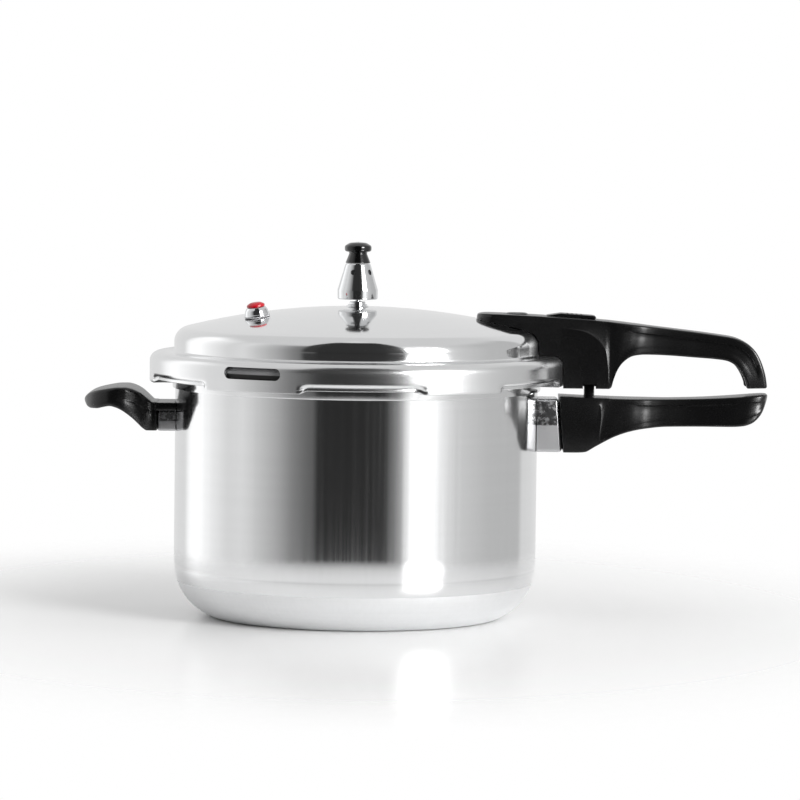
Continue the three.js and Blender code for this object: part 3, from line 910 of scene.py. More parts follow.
class NodeTree:
    """Geometry node tree with named inputs."""

    def __init__(self, name: str, inputs: dict[str, str]) -> None:
        """Starts a tree.

        Args:
            name: Name of the tree.
            inputs: Socket type of each input by name.
        """
        self.tree = bpy.data.node_groups.new(name, "GeometryNodeTree")
        face = self.tree.interface
        face.new_socket("Geometry", in_out="INPUT", socket_type="NodeSocketGeometry")
        self.keys = {
            key: face.new_socket(key, in_out="INPUT", socket_type=kind).identifier
            for key, kind in inputs.items()
        }
        face.new_socket("Geometry", in_out="OUTPUT", socket_type="NodeSocketGeometry")
        self.inputs = self.tree.nodes.new("NodeGroupInput").outputs

    def add(self, kind: str, settings: dict[str, Any], inputs: dict[Any, Any]) -> Any:
        """Adds one node.

        Args:
            kind: Type name of the node.
            settings: Its own properties, set first.
            inputs: Values or links by socket name or number.

        Returns:
            Its first output.
        """
        node = self.tree.nodes.new(kind)
        for name, setting in settings.items():
            setattr(node, name, setting)
        for key, value in inputs.items():
            if isinstance(value, bpy.types.NodeSocket):
                self.tree.links.new(value, node.inputs[key])
            else:
                node.inputs[key].default_value = value
        return node.outputs[0]

    def finish(self, geometry: bpy.types.NodeSocket) -> None:
        """Realizes the copies, gives them their finish and ends the tree.

        Args:
            geometry: Geometry to give out.
        """
        real = self.add("GeometryNodeRealizeInstances", {}, {"Geometry": geometry})
        inputs = {"Geometry": real, "Material": self.inputs["Finish"]}
        dressed = self.add("GeometryNodeSetMaterial", {}, inputs)
        out = self.tree.nodes.new("NodeGroupOutput")
        self.tree.links.new(dressed, out.inputs[0])

    def apply(self, piece: bpy.types.Object, values: dict[str, Any]) -> bpy.types.Object:
        """Runs the tree on a piece and keeps the result as plain mesh.

        Args:
            piece: Piece whose mesh goes in.
            values: Value of each input by name.

        Returns:
            The same object with its new mesh.
        """
        step = piece.modifiers.new(self.tree.name, "NODES")
        step.node_group = self.tree
        for key, value in values.items():
            step[self.keys[key]] = value
        return shaded(settled(piece))


def repeat_tree() -> NodeTree:
    """Tree that sets copies of a piece along a line.

    Returns:
        Tree with Count, Start, Step and Finish.
    """
    tree = NodeTree(
        "row of copies",
        {
            "Count": "NodeSocketInt",
            "Start": "NodeSocketVector",
            "Step": "NodeSocketVector",
            "Finish": "NodeSocketMaterial",
        },
    )
    inputs = {
        "Count": tree.inputs["Count"],
        "Start Location": tree.inputs["Start"],
        "Offset": tree.inputs["Step"],
    }
    row = tree.add("GeometryNodeMeshLine", {"mode": "OFFSET"}, inputs)
    copies = tree.add(
        "GeometryNodeInstanceOnPoints",
        {},
        {"Points": row, "Instance": tree.inputs["Geometry"]},
    )
    tree.finish(copies)
    return tree


def perforation_tree() -> NodeTree:
    """Tree that drills a ring of holes.

    Returns:
        Tree with Count, Ring, Hole, Height, Depth, Tilt, First and Finish.
    """
    tree = NodeTree(
        "ring of holes",
        {
            "Count": "NodeSocketInt",
            "Ring": "NodeSocketFloat",
            "Hole": "NodeSocketFloat",
            "Height": "NodeSocketFloat",
            "Depth": "NodeSocketFloat",
            "Tilt": "NodeSocketFloat",
            "First": "NodeSocketFloat",
            "Finish": "NodeSocketMaterial",
        },
    )
    given = tree.inputs

    def sum_of(kind: str, first: Any, second: Any) -> Any:
        """One Math node."""
        return tree.add("ShaderNodeMath", {"operation": kind}, {0: first, 1: second})

    circle = tree.add(
        "GeometryNodeMeshCircle", {}, {"Vertices": given["Count"], "Radius": given["Ring"]}
    )
    drill = tree.add(
        "GeometryNodeMeshCylinder",
        {},
        {"Vertices": 40, "Radius": given["Hole"], "Depth": given["Depth"]},
    )
    place = tree.add("GeometryNodeInputIndex", {}, {})
    angle = sum_of("MULTIPLY", sum_of("DIVIDE", place, given["Count"]), 2 * math.pi)
    turn = tree.add("ShaderNodeCombineXYZ", {}, {1: given["Tilt"], 2: angle})
    rotation = tree.add("FunctionNodeEulerToRotation", {}, {0: turn})
    drills = tree.add(
        "GeometryNodeInstanceOnPoints",
        {},
        {"Points": circle, "Instance": drill, "Rotation": rotation},
    )
    lift = tree.add("ShaderNodeCombineXYZ", {}, {2: given["Height"]})
    swing = tree.add("ShaderNodeCombineXYZ", {}, {2: given["First"]})
    held = tree.add(
        "GeometryNodeTransform",
        {},
        {"Geometry": drills, "Translation": lift, "Rotation": swing},
    )
    tools = tree.add("GeometryNodeRealizeInstances", {}, {"Geometry": held})
    drilled = tree.add(
        "GeometryNodeMeshBoolean",
        {"operation": "DIFFERENCE", "solver": "EXACT"},
        {"Mesh 1": given["Geometry"], "Mesh 2": tools},
    )
    tree.finish(drilled)
    return tree


@dataclass(frozen=True)
class Fastener:
    """Rivet or screw with a round head, pointing along an axis."""

    name: str
    shank: float
    head: float
    head_height: float
    length: float
    far_head: float = 0.0
    slot: float = 0.0

    def profile(self) -> list[Point]:
        """Profile of the fastener.

        Returns:
            Points from the far end to the top of the head, which stands on height 0.
        """
        start = -self.length
        foot = [(0, start, 0), (self.shank, start, 0.3)]
        if self.far_head:
            foot = [
                (0, start - 1.3, 0),
                (self.far_head, start - 1.3, 0.5),
                (self.far_head, start, 0.2),
                (self.shank, start, 0),
            ]
        return filleted(
            [
                *foot,
                (self.shank, 0, 0),
                (self.head, 0, 0.15),
                (self.head, self.head_height * 0.35, 0.6),
                (self.head * 0.55, self.head_height * 0.95, 1.6),
                (0, self.head_height, 0),
            ],
            3,
        )

    def made(self, pointing: Place) -> bpy.types.Object:
        """Makes one fastener whose head stands on the origin.

        Args:
            pointing: Direction from the shank to the head.

        Returns:
            The fastener.
        """
        piece = turned(self.name, self.profile(), 32)
        if self.slot:
            depth = self.head_height * 0.55
            for wide, deep in ((self.slot, self.head * 0.75), (self.head * 0.75, self.slot)):
                cutter = block((-wide, wide), (-deep, deep), (depth, self.head_height + 2))
                carved(piece, cutter)
        turn = Vector((0, 0, 1)).rotation_difference(Vector(pointing)).to_matrix().to_4x4()
        return moved(piece, turn)

    def row(
        self,
        repeat: NodeTree,
        finish: bpy.types.Material,
        pointing: Place,
        start: Place,
        step: Place = (0.0, 0.0, 0.0),
        count: int = 1,
    ) -> bpy.types.Object:
        """Makes a row of fasteners as one piece.

        Args:
            repeat: Tree that sets copies along a line.
            finish: Material of the fasteners.
            pointing: Direction from the shank to the head.
            start: Foot of the first head in millimetres.
            step: From one fastener to the next.
            count: How many there are.

        Returns:
            The row.
        """
        piece = self.made(pointing)
        values = {
            "Count": count,
            "Start": tuple(MM * part for part in start),
            "Step": tuple(MM * part for part in step),
            "Finish": finish,
        }
        return repeat.apply(piece, values)


# ---------------------------------------------------------------- pot


def swell(offset: float, half: float, edge: float) -> float:
    """Level of a raised patch round the axis.

    Args:
        offset: Degrees from the middle of the patch.
        half: Half of its arc in degrees.
        edge: Degrees over which it rises.

    Returns:
        1 inside the patch, 0 outside, smooth between.
    """
    t = min(max((half - abs(offset)) / edge + 0.5, 0.0), 1.0)
    return t * t * (3 - 2 * t)


def nearest(degrees: float, centre: float) -> float:
    """Signed difference of two bearings in degrees."""
    return (degrees - centre + 180.0) % 360.0 - 180.0


@dataclass
class Pot:
    """Drawn pot with a rolled base curve, a rim band and six bayonet lugs."""

    wall_radius: float = 119.6
    sheet: float = 3.0
    floor: float = 4.0
    corner_radius: float = 36.0
    corner_centre: Point = (83.2, 34.1)
    rim_height: float = 165.5
    band_radius: float = 121.4
    lug_radius: float = 131.0
    lug_heights: Point = (157.8, 162.0)
    rack_radius: float = 100.0
    rack_height: float = 20.0

    def section(self, degrees: float) -> list[Point]:
        """Profile of the pot at a bearing.

        Args:
            degrees: Bearing about the axis.

        Returns:
            Closed profile from the middle of the base to the middle of the floor.
        """
        pitch = 360.0 / LUGS
        lug = swell(nearest(degrees % pitch, 0 if degrees % pitch < pitch / 2 else pitch), 13, 1.1)
        low, high = self.lug_heights
        reach = self.band_radius + lug * (self.lug_radius - self.band_radius)
        tip = self.band_radius + lug * (self.lug_radius - 0.7 - self.band_radius)
        cx, cz = self.corner_centre
        underside = [(0, 0.9), (40, 0.9), (84, 0.8), (86.5, 0.25), (88, 0.0), (93, 0.0)]
        base = arc(self.corner_centre, self.corner_radius, -71.2, 0, 26)
        wall = [(self.wall_radius, 36 + 12.6 * n) for n in range(10)]
        band = [
            (self.wall_radius, 150.1),
            (self.wall_radius + 0.5, 150.2),
            (self.band_radius - 0.25, 150.5),
            (self.band_radius, 151.1),
            (self.band_radius, 156.9),
            (self.band_radius + 0.01, low - 0.35),
            (tip, low - 0.02),
            (reach, low + 0.6),
            (reach, high - 0.6),
            (tip, high),
            (self.band_radius + 0.01, high + 0.35),
            (self.band_radius, high + 0.9),
        ]
        inner = self.wall_radius - self.sheet
        rim = [
            (self.band_radius, self.rim_height - 1.6),
            (self.band_radius - 0.5, self.rim_height - 0.5),
            (self.band_radius - 1.6, self.rim_height),
            (inner + 1.4, self.rim_height),
            (inner + 0.4, self.rim_height - 0.4),
            (inner, self.rim_height - 1.4),
        ]
        inside_radius = self.corner_radius - self.sheet
        drop = math.degrees(math.asin((cz - self.floor) / inside_radius))
        inside = [(inner, 150 - 12 * n) for n in range(10)]
        bowl = arc((cx + inner - self.wall_radius + self.sheet, cz), inside_radius, 0, -drop, 14)
        floor = [(70, self.floor), (35, self.floor), (0, self.floor)]
        base[0] = (94.8, 0.02)
        return [*underside, *base, *wall, *band, *rim, *inside, *bowl, *floor]

    def build(self, finishes: Finishes, drill: NodeTree) -> None:
        """Makes the pot and its rack.

        Args:
            finishes: Finishes of the canner.
            drill: Tree that drills rings of holes.
        """
        pot = turned("pot_wall", self.section, 360)
        fitted(pot, finishes.wall, Body.POT, Slot.POLISHED, "pot_shell")
        rack = self.rack(finishes, drill)
        fitted(rack, None, Body.POT, Slot.SATIN, "canning_rack")

    def rack(self, finishes: Finishes, drill: NodeTree) -> bpy.types.Object:
        """Makes the perforated rack on its turned-down rim.

        Args:
            finishes: Finishes of the canner.
            drill: Tree that drills rings of holes.

        Returns:
            The rack.
        """
        low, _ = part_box("canning_rack")
        foot, top, radius = low[2] / MM, self.rack_height, self.rack_radius
        profile = filleted(
            [
                (0, top - 1.2, 0),
                (22, top - 1.2, 3),
                (25, top - 2.2, 2),
                (29, top - 1.2, 3),
                (radius - 1.2, top - 1.2, 3),
                (radius - 1.2, foot, 0.4),
                (radius, foot, 0.4),
                (radius, top, 4),
                (29, top, 3),
                (25, top - 1.0, 2),
                (22, top, 3),
                (0, top, 0),
            ],
            5,
        )
        rack = carved(turned("perforated_rack", profile, 128), bar(9.0, 0, 30))
        for count, ring, hole in ((6, 40.0, 7.0), (12, 62.0, 5.0), (12, 82.0, 7.0)):
            values = {
                "Count": count,
                "Ring": ring * MM,
                "Hole": hole * MM,
                "Height": top * MM,
                "Depth": 8 * MM,
                "Tilt": 0.0,
                "First": 0.0,
                "Finish": finishes.rack,
            }
            drill.apply(rack, values)
        return rack


# ---------------------------------------------------------------- lid


@dataclass
class Lid:
    """Crowned lid with a flange and a skirt that locks over the pot's lugs."""

    sheet: float = 2.8
    crown_radius: float = 453.6
    crown_height: float = 204.5
    dome_radius: float = 120.6
    dome_corner: float = 10.0
    dome_corner_height: float = 180.5
    flange_height: float = 174.0
    flange_corner: float = 6.0
    skirt_radius: float = 136.6
    skirt_foot: float = 154.5
    tooth_radius: float = 123.8
    tooth_top: float = 157.2
    curl_top: float = 161.9
    curl_foot: float = 158.8
    lip_radius: float = 134.0
    lip_foot: float = 156.6
    window_bearing: float = 241.0
    window_arc: float = 17.4
    window_heights: Point = (162.6, 170.3)
    indicator_x: float = 105.0

    def crown(self, radius: float, lowered: float = 0.0) -> float:
        """Height of the crown at a radius, lowered by a sheet."""
        curve = self.crown_radius - lowered
        return self.crown_height - self.crown_radius + math.sqrt(curve * curve - radius * radius)

    def dome(self, lowered: float, steps: int = 12) -> list[Point]:
        """Profile of the dome.

        Args:
            lowered: How far under the outer skin it runs.
            steps: Segments in its corner.

        Returns:
            Points from the middle to the foot of the corner.
        """
        centre = self.dome_radius - self.dome_corner
        corner = self.dome_corner - lowered
        start = math.degrees(math.acos(centre / self.crown_radius))
        crown = [(r, self.crown(r, lowered)) for r in (0, 6, 12, 20, 30, 42, 55, 68, 80, 92, 102)]
        return [*crown, *arc((centre, self.dome_corner_height), corner, start, 0, steps)]

    def gap_level(self, degrees: float) -> float:
        """How far a bearing lies in one of the six gaps of the skirt, from 0 to 1."""
        gaps = ((30, 16), (90, 16), (150, 16), (209.4, 15), (272.2, 16.2), (330, 16))
        return max(swell(nearest(degrees, centre), half, 2.0) for centre, half in gaps)

    def section(self, degrees: float) -> list[Point]:
        """Profile of the lid at a bearing.

        Args:
            degrees: Bearing about the axis.

        Returns:
            Closed profile from the inside of the crown round the skirt to the outside.
        """
        gap = self.gap_level(degrees)
        pitch = 360.0 / LUGS
        off = degrees % pitch
        tooth = swell(off if off < pitch / 2 else off - pitch, 13.4, 0.9)
        inner = self.skirt_radius - self.sheet
        thin = self.lip_radius - 1.3

        def between(plain: Point, curled: Point) -> Point:
            """Point between the plain skirt and the curled lip."""
            return tuple(a + (b - a) * gap for a, b in zip(plain, curled))

        reach = inner + 0.02 - tooth * (inner - self.tooth_radius)
        foot = self.skirt_foot
        flange = (self.skirt_radius - self.flange_corner, self.flange_height - self.flange_corner)
        inside = [
            *self.dome(self.sheet),
            (self.dome_radius - self.sheet, self.flange_height - self.sheet + 1.0),
            (self.dome_radius - self.sheet + 1.0, self.flange_height - self.sheet),
            *arc(flange, self.flange_corner - self.sheet, 90, 0, 6),
            between((inner, 163.2), (inner, 163.6)),
            between((inner, 160.4), (inner - 0.2, 161.3)),
            between((inner, 158.6), (thin + 0.3, 159.4)),
            between((inner, self.tooth_top + 0.4), (thin, 158.5)),
            between((reach + 0.2, self.tooth_top), (thin, 158.0)),
            between((reach, self.tooth_top - 0.4), (thin, 157.6)),
            between((reach, foot + 0.4), (thin, self.lip_foot + 0.4)),
            between((reach + 0.3 * (1 - tooth), foot + 0.02), (thin + 0.2, self.lip_foot + 0.1)),
            between((inner + 1.2, foot), (thin + 0.6, self.lip_foot)),
            between((self.skirt_radius - 0.7, foot), (self.lip_radius - 0.35, self.lip_foot)),
            between((self.skirt_radius - 0.15, foot + 0.2), (self.lip_radius, 156.9)),
            between((self.skirt_radius, foot + 0.7), (self.lip_radius, 157.6)),
        ]
        drop, curl = self.curl_top - self.curl_foot, self.skirt_radius - self.lip_radius
        roll = []
        for step in range(7):
            turn = math.radians(90 * step / 6)
            bent = (
                self.lip_radius + curl * math.sin(turn),
                self.curl_foot - 0.1 + drop * (1 - math.cos(turn)),
            )
            roll.append(between((self.skirt_radius, foot + 2.6 + 0.8 * step), bent))
        rise = [(self.skirt_radius, 162.6 + 1.0 * n) for n in range(5)]
        outside = [
            between((self.skirt_radius, foot + 1.8), (self.lip_radius - 0.25, 158.5)),
            *roll,
            *rise,
            *arc(flange, self.flange_corner, 0, 90, 12),
            (self.dome_radius + 2.6, self.flange_height),
            (self.dome_radius + 1.1, self.flange_height + 0.4),
            (self.dome_radius + 0.3, self.flange_height + 1.2),
            (self.dome_radius, self.flange_height + 2.6),
            *self.dome(0.0)[::-1],
        ]
        return [*inside, *outside]

    def envelope(self, clearance: float) -> bpy.types.Object:
        """Outside of the lid grown by a clearance, which a piece seated on it is cut by.

        Args:
            clearance: Gap in millimetres.

        Returns:
            The closed shape.
        """
        flange = (self.skirt_radius - self.flange_corner, self.flange_height - self.flange_corner)
        profile = [
            (0, 140),
            (self.skirt_radius + clearance, 140),
            *arc(flange, self.flange_corner + clearance, 0, 90, 12),
            (self.dome_radius + 1.8 + clearance, self.flange_height + clearance),
            (self.dome_radius + clearance, self.flange_height + 1.8 + clearance),
            *self.dome(-clearance)[::-1],
        ]
        return turned("lid_envelope", profile, 288)

    def window(self) -> bpy.types.Object:
        """Cutter for the slot in the skirt that shows the gasket."""
        width = 2 * self.skirt_radius * math.sin(math.radians(self.window_arc / 2))
        low, high = self.window_heights
        outline = rounded_plate((-width / 2, width / 2), (low, high), 3.8, 8)
        slot = prism("window", outline, 128.0, 142.0, "X")
        return moved(slot, Matrix.Rotation(math.radians(self.window_bearing), 4, "Z"))

    def build(self, finishes: Finishes, valve_axis: Matrix) -> None:
        """Makes the lid and its gasket.

        Args:
            finishes: Finishes of the canner.
            valve_axis: Where the safety valve stands.
        """
        lid = turned("lid_dome", self.section, 360)
        indicator = moved(bar(4.3, 180, 200), Matrix.Translation((self.indicator_x, 0, 0)))
        valve = moved(bar(5.3, -10, 10), valve_axis)
        carved(lid, self.window(), bar(4.3, 190, 215), valve, indicator)
        fitted(lid, finishes.lid, Body.LID, Slot.POLISHED, "lid_shell")
        fitted(self.gasket(), finishes.seal, Body.GASKET, Slot.SEAL, "sealing_gasket")

    def gasket(self) -> bpy.types.Object:
        """Makes the gasket: a rounded ring with a pressure lip.

        Returns:
            The ring.
        """
        profile = filleted(
            [
                (115.6, 169.6, 0),
                (115.6, 169.0, 0.3),
                (117.4, 165.8, 0.4),
                (121.5, 165.8, 0.3),
                (122.3, 166.5, 0.3),
                (124.0, 166.5, 0.3),
                (124.8, 165.8, 0.3),
                (130.6, 165.8, 0.8),
                # These points make an outer lip down to 162.6 mm, a dark sheet that the seal's
                # painted shade turns near black to fill the lower part of the skirt window.
                (131.5, 162.6, 0.4),
                (133.1, 162.6, 0.5),
                (133.1, 167.6, 1.4),
                (129.9, 170.8, 1.6),
                (115.6, 170.8, 0.4),
                (115.6, 169.9, 0),
            ],
            4,
        )
        return turned("gasket_ring", profile, 240, ring=True)


# ---------------------------------------------------------------- handles


@dataclass(frozen=True)
class Station:
    """Cross-section of a handle between a point on its back and one on its underside.

    The halves are half widths. The crease is a share of the height, where the side steps in. The
    hollow is the depth of the channel in the underside, and channel its half width. The cove is
    the depth of the side's hollow between the sill below it and the rim above it.
    """

    back_x: float
    back_z: float
    under_x: float
    under_z: float
    back_half: float
    under_half: float
    crease: float
    step: float
    hollow: float
    channel: float
    back_round: float
    under_round: float
    cove: float
    rim: float
    sill: float

    def half_ring(self) -> list[Place]:
        """Half of the section from the middle of the underside to the middle of the back.

        Returns:
            Points across, along X and along Z.
        """
        height = math.hypot(self.back_x - self.under_x, self.back_z - self.under_z)
        deep = max(self.hollow, 0.3)
        channel = self.channel
        lower, upper = self.under_half, self.back_half
        crease = self.crease * height
        round_under, round_back = self.under_round, self.back_round
        flat = [
            (0, deep),
            (channel * 0.55, deep),
            (channel - 0.9, deep),
            (channel - 0.25, deep - min(0.25, deep * 0.3)),
            (channel, deep - min(0.9, deep * 0.6)),
            (channel + 0.05, min(0.5, deep * 0.3)),
            (channel + 0.3, min(0.12, deep * 0.1)),
            (channel + 0.7, 0),
            (lower - round_under, 0),
        ]
        for step in range(1, 4):
            turn = math.radians(30 * step)
            flat.append(
                (
                    lower - round_under + round_under * math.sin(turn),
                    round_under * (1 - math.cos(turn)),
                )
            )
        side_foot = max(crease, round_under + 0.4)
        flat += [
            (lower, round_under + (side_foot - round_under) * 0.5),
            (lower, side_foot),
            (lower - self.step * 0.35, side_foot + 0.28),
        ]
        flat += self.panel(side_foot + 0.7, height - round_back)
        for step in range(0, 5):
            turn = math.radians(22.5 * step)
            flat.append(
                (
                    upper - round_back + round_back * math.cos(turn),
                    height - round_back + round_back * math.sin(turn),
                )
            )
        flat += [(upper * 0.5, height + 0.12), (0, height + 0.2)]
        up_x = (self.back_x - self.under_x) / height
        up_z = (self.back_z - self.under_z) / height
        return [(self.under_x + up_x * v, y, self.under_z + up_z * v) for y, v in flat]

    def panel(self, foot: float, top: float) -> list[Point]:
        """Side of the section: sill, cove and rim.

        Args:
            foot: Where the side starts above the underside.
            top: Where it meets the round of the back.

        Returns:
            Points across and up, from the foot to just under the top.
        """
        start = self.under_half - self.step
        span = top - foot
        slope = (start - self.back_half) / span
        low = foot + min(self.sill, 0.2 * span)
        high = top - min(self.rim, 0.25 * span)
        tall = high - low
        rows = [
            (foot, 0.0),
            (low, 0.0),
            (low + min(0.5, 0.08 * tall), 0.22),
            (low + 0.30 * tall, 0.40),
            (low + 0.62 * tall, 0.74),
            (high - min(1.3, 0.2 * tall), 1.0),
            (high - min(0.7, 0.1 * tall), 0.9),
            (high, 0.0),
        ]
        return [(start - slope * (up - foot) - self.cove * share, up) for up, share in rows]

    def ring(self) -> list[Place]:
        """Whole section, mirrored across the middle.

        Returns:
            Points round the section.
        """
        half = self.half_ring()
        other = [(x, -y, z) for x, y, z in half[-2:0:-1]]
        return half + other


def handle_from(name: str, keys: Sequence[Sequence[float]], steps: int) -> bpy.types.Object:
    """Skins a handle through its key stations.

    Args:
        name: Name of the piece.
        keys: Numbers of each key station, in the order of its fields.
        steps: Stations for each span.

    Returns:
        The closed handle.
    """
    rings = [Station(*row).ring() for row in curve_between(keys, steps)]
    return lofted(name, rings)


@dataclass
class LidHandle:
    """Long handle of the lid: nose on the crown, deep block over the skirt, grip with a hook."""

    recess_x: float = 105.0
    recess_radius: float = 8.3
    screw_x: float = 145.0
    screw_side: float = 8.5

    def keys(self) -> list[list[float]]:
        """Key stations from the nose to the tip of the hook.

        Returns:
            Rows of numbers in the order of a station's fields.
        """
        return [
            [78.9, 199.2, 78.9, 153, 4.0, 5.0, 0.94, 0.2, 0.3, 2.0, 0.8, 0.6, 0, 1, 1],
            [79.6, 200.6, 79.6, 153, 7.4, 8.4, 0.95, 0.2, 0.3, 5.0, 0.8, 0.6, 0, 1, 1],
            [81.6, 201.2, 81.6, 153, 11.0, 12.0, 0.95, 0.2, 0.3, 7.0, 0.9, 0.6, 0, 1, 1],
            [85.0, 201.4, 85.0, 153, 13.9, 14.9, 0.95, 0.2, 0.3, 9.0, 0.9, 0.6, 0, 1, 1],
            [90.0, 201.3, 90.0, 153, 15.6, 16.5, 0.94, 0.2, 0.3, 9.0, 0.9, 0.8, 0, 1, 1],
            [100.0, 201.0, 100.0, 153, 15.8, 16.8, 0.92, 0.2, 0.3, 9.0, 0.9, 0.8, 0, 1, 1],
            [117.0, 200.3, 117.0, 153, 15.5, 17.0, 0.88, 0.4, 0.3, 9.0, 0.9, 0.8, 0, 1, 1],
            [132.0, 199.5, 132.0, 153, 15.2, 17.0, 0.86, 0.5, 0.3, 9.0, 1.0, 0.8, 0, 1, 1],
            [146.0, 198.7, 146.0, 153, 14.9, 17.0, 0.84, 0.6, 0.3, 9.0, 1.0, 0.8, 0, 1, 1],
            [152.0, 198.3, 152.0, 153, 14.8, 17.0, 0.808, 0.6, 0.3, 9.0, 1.0, 0.8, 0, 1, 1],
            [157.5, 197.9, 157.5, 153, 14.8, 17.0, 0.735, 0.6, 0.3, 9.0, 1.0, 0.8, 0, 1, 1],
            [161.5, 197.5, 161.3, 153, 14.8, 17.0, 0.64, 0.6, 0.3, 9.0, 1.1, 0.8, 0, 1, 1],
            [164.1, 197.3, 163.7, 153, 14.8, 17.0, 0.53, 0.6, 0.3, 9.0, 1.1, 0.8, 0, 1, 1],
            [165.5, 197.2, 165.1, 153, 14.9, 17.0, 0.315, 0.6, 0.3, 9.0, 1.1, 0.8, 0, 1, 1],
            [166.5, 197.1, 166.0, 153, 15.0, 16.9, 0.10, 0.6, 0.3, 9.0, 1.2, 0.8, 0, 1, 1],
            [168.4, 196.9, 167.6, 154.0, 15.2, 16.7, 0.05, 0.5, 0.3, 9.0, 1.3, 1.0, 0, 1, 1],
            [171.2, 196.6, 169.0, 158.6, 15.5, 16.4, 0.03, 0.3, 0.3, 9.0, 1.5, 1.0, 0, 2, 1],
            [175.2, 196.2, 171.6, 165.4, 15.6, 16.2, 0.03, 0.1, 0.3, 9.0, 1.6, 1.0, 0, 3, 1.6],
            [180.2, 195.6, 176.0, 171.3, 15.5, 16.0, 0.03, 0.1, 0.4, 9.0, 1.6, 1.1, 0.5, 3, 2],
            [185.8, 195.0, 182.2, 174.9, 14.8, 15.4, 0.03, 0.1, 3.0, 9.0, 1.6, 1.2, 1.2, 3, 2],
            [191.6, 194.3, 189.4, 175.7, 13.4, 14.2, 0.03, 0.1, 7.0, 9.0, 1.6, 1.3, 1.4, 3, 2],
            [198.0, 193.6, 197.0, 175.6, 12.5, 13.3, 0.03, 0.1, 9.0, 8.4, 1.6, 1.3, 1.4, 3, 2],
            [209.0, 192.4, 208.4, 175.1, 12.0, 12.8, 0.03, 0.1, 9.0, 8.0, 1.6, 1.3, 1.4, 3, 2],
            [223.0, 190.8, 221.8, 174.2, 12.1, 12.9, 0.03, 0.1, 8.8, 8.2, 1.6, 1.3, 1.4, 3, 2],
            [238.0, 188.9, 235.6, 173.3, 12.8, 13.6, 0.03, 0.1, 8.4, 8.8, 1.6, 1.3, 1.3, 3, 2],
            [248.6, 187.2, 243.6, 172.2, 13.6, 14.4, 0.03, 0.1, 7.8, 9.4, 1.6, 1.3, 1.2, 3, 2],
            [256.4, 183.9, 249.0, 169.4, 14.2, 15.1, 0.03, 0.1, 7.4, 9.8, 1.6, 1.3, 1.0, 3, 2],
            [262.4, 178.6, 252.6, 165.2, 14.6, 15.6, 0.03, 0.1, 7.2, 10.0, 1.6, 1.3, 0.8, 3, 2],
            [266.7, 170.6, 255.0, 160.8, 14.4, 15.6, 0.03, 0.1, 7.0, 10.0, 1.8, 1.3, 0.4, 3, 2],
            [269.4, 161.6, 256.3, 157.2, 13.9, 15.2, 0.03, 0.1, 6.8, 10.0, 2.0, 1.3, 0, 3, 2],
            [270.3, 155.5, 256.7, 155.0, 13.4, 14.8, 0.03, 0.1, 6.6, 9.8, 2.2, 1.3, 0, 3, 2],
            [269.6, 154.4, 257.4, 154.2, 12.9, 14.4, 0.03, 0.1, 6.0, 9.6, 2.0, 1.2, 0, 3, 2],
        ]

    def grip(self, lid: Lid) -> bpy.types.Object:
        """Makes the moulding.

        Args:
            lid: Lid it sits on.

        Returns:
            The handle with its slots, recess and counterbores.
        """
        handle = handle_from("lid_handle", self.keys(), 5)
        shift = Matrix.Translation((self.recess_x, 0, 0))
        leg_slot = block((145.8, 156.8), (-3.4, 3.4), (140, 205))
        foot_slot = block((145.8, 163.2), (-3.4, 3.4), (140, 158.2))
        fork_slot = block((151.8, 163.2), (-9.2, 9.2), (140, 158.2))
        boss_groove = block((148.9, 157.6), (-20, 6), (140, 155.7))
        strap_seat = block((115, 151.4), (-13.4, 13.4), (170, 177.2))
        strap_head = block((115, 125.6), (-13.4, 13.4), (170, 186.6))
        disc_recess = moved(bar(self.recess_radius, 198.6, 205, 64), shift)
        pin_bore = moved(bar(5.6, 188, 205), shift)
        cutters = [lid.envelope(0.4), leg_slot, foot_slot, fork_slot, boss_groove]
        cutters += [strap_seat, strap_head, disc_recess, pin_bore]
        for side in (-self.screw_side, self.screw_side):
            place = Matrix.Translation((self.screw_x, side, 0))
            cutters.append(moved(bar(2.3, 140, 180.5, 32), place))
            cutters.append(moved(bar(4.6, 140, 157.3, 32), place))
        return carved(handle, *cutters)

    def build(self, finishes: Finishes, lid: Lid, repeat: NodeTree) -> None:
        """Makes the handle, its screws and rivets.

        Args:
            finishes: Finishes of the canner.
            lid: Lid it sits on.
            repeat: Tree that sets copies along a line.
        """
        fitted(self.grip(lid), finishes.phenolic, Body.LID, Slot.PHENOLIC, "lid_handle_grip")
        side, steel = self.screw_side, finishes.steel
        screw = Fastener("lid_handle_screws", 2.0, 4.2, 2.7, 22.8, slot=0.6)
        start, step = (self.screw_x, -side, 156.9), (0, 2 * side, 0)
        screws = screw.row(repeat, steel, (0, 0, -1), start, step, 2)
        fitted(screws, None, Body.LID, Slot.STEEL, "lid_handle_screw_1", "lid_handle_screw_2")
        rivet = Fastener("lid_bracket_rivets", 2.2, 2.8, 1.5, 7.8, far_head=2.8)
        rivets = rivet.row(repeat, steel, (1, 0, 0), (123.9, -6, 180.8), (0, 12, 0), 2)
        fitted(rivets, None, Body.LID, Slot.STEEL, "lid_bracket_rivet_1", "lid_bracket_rivet_2")


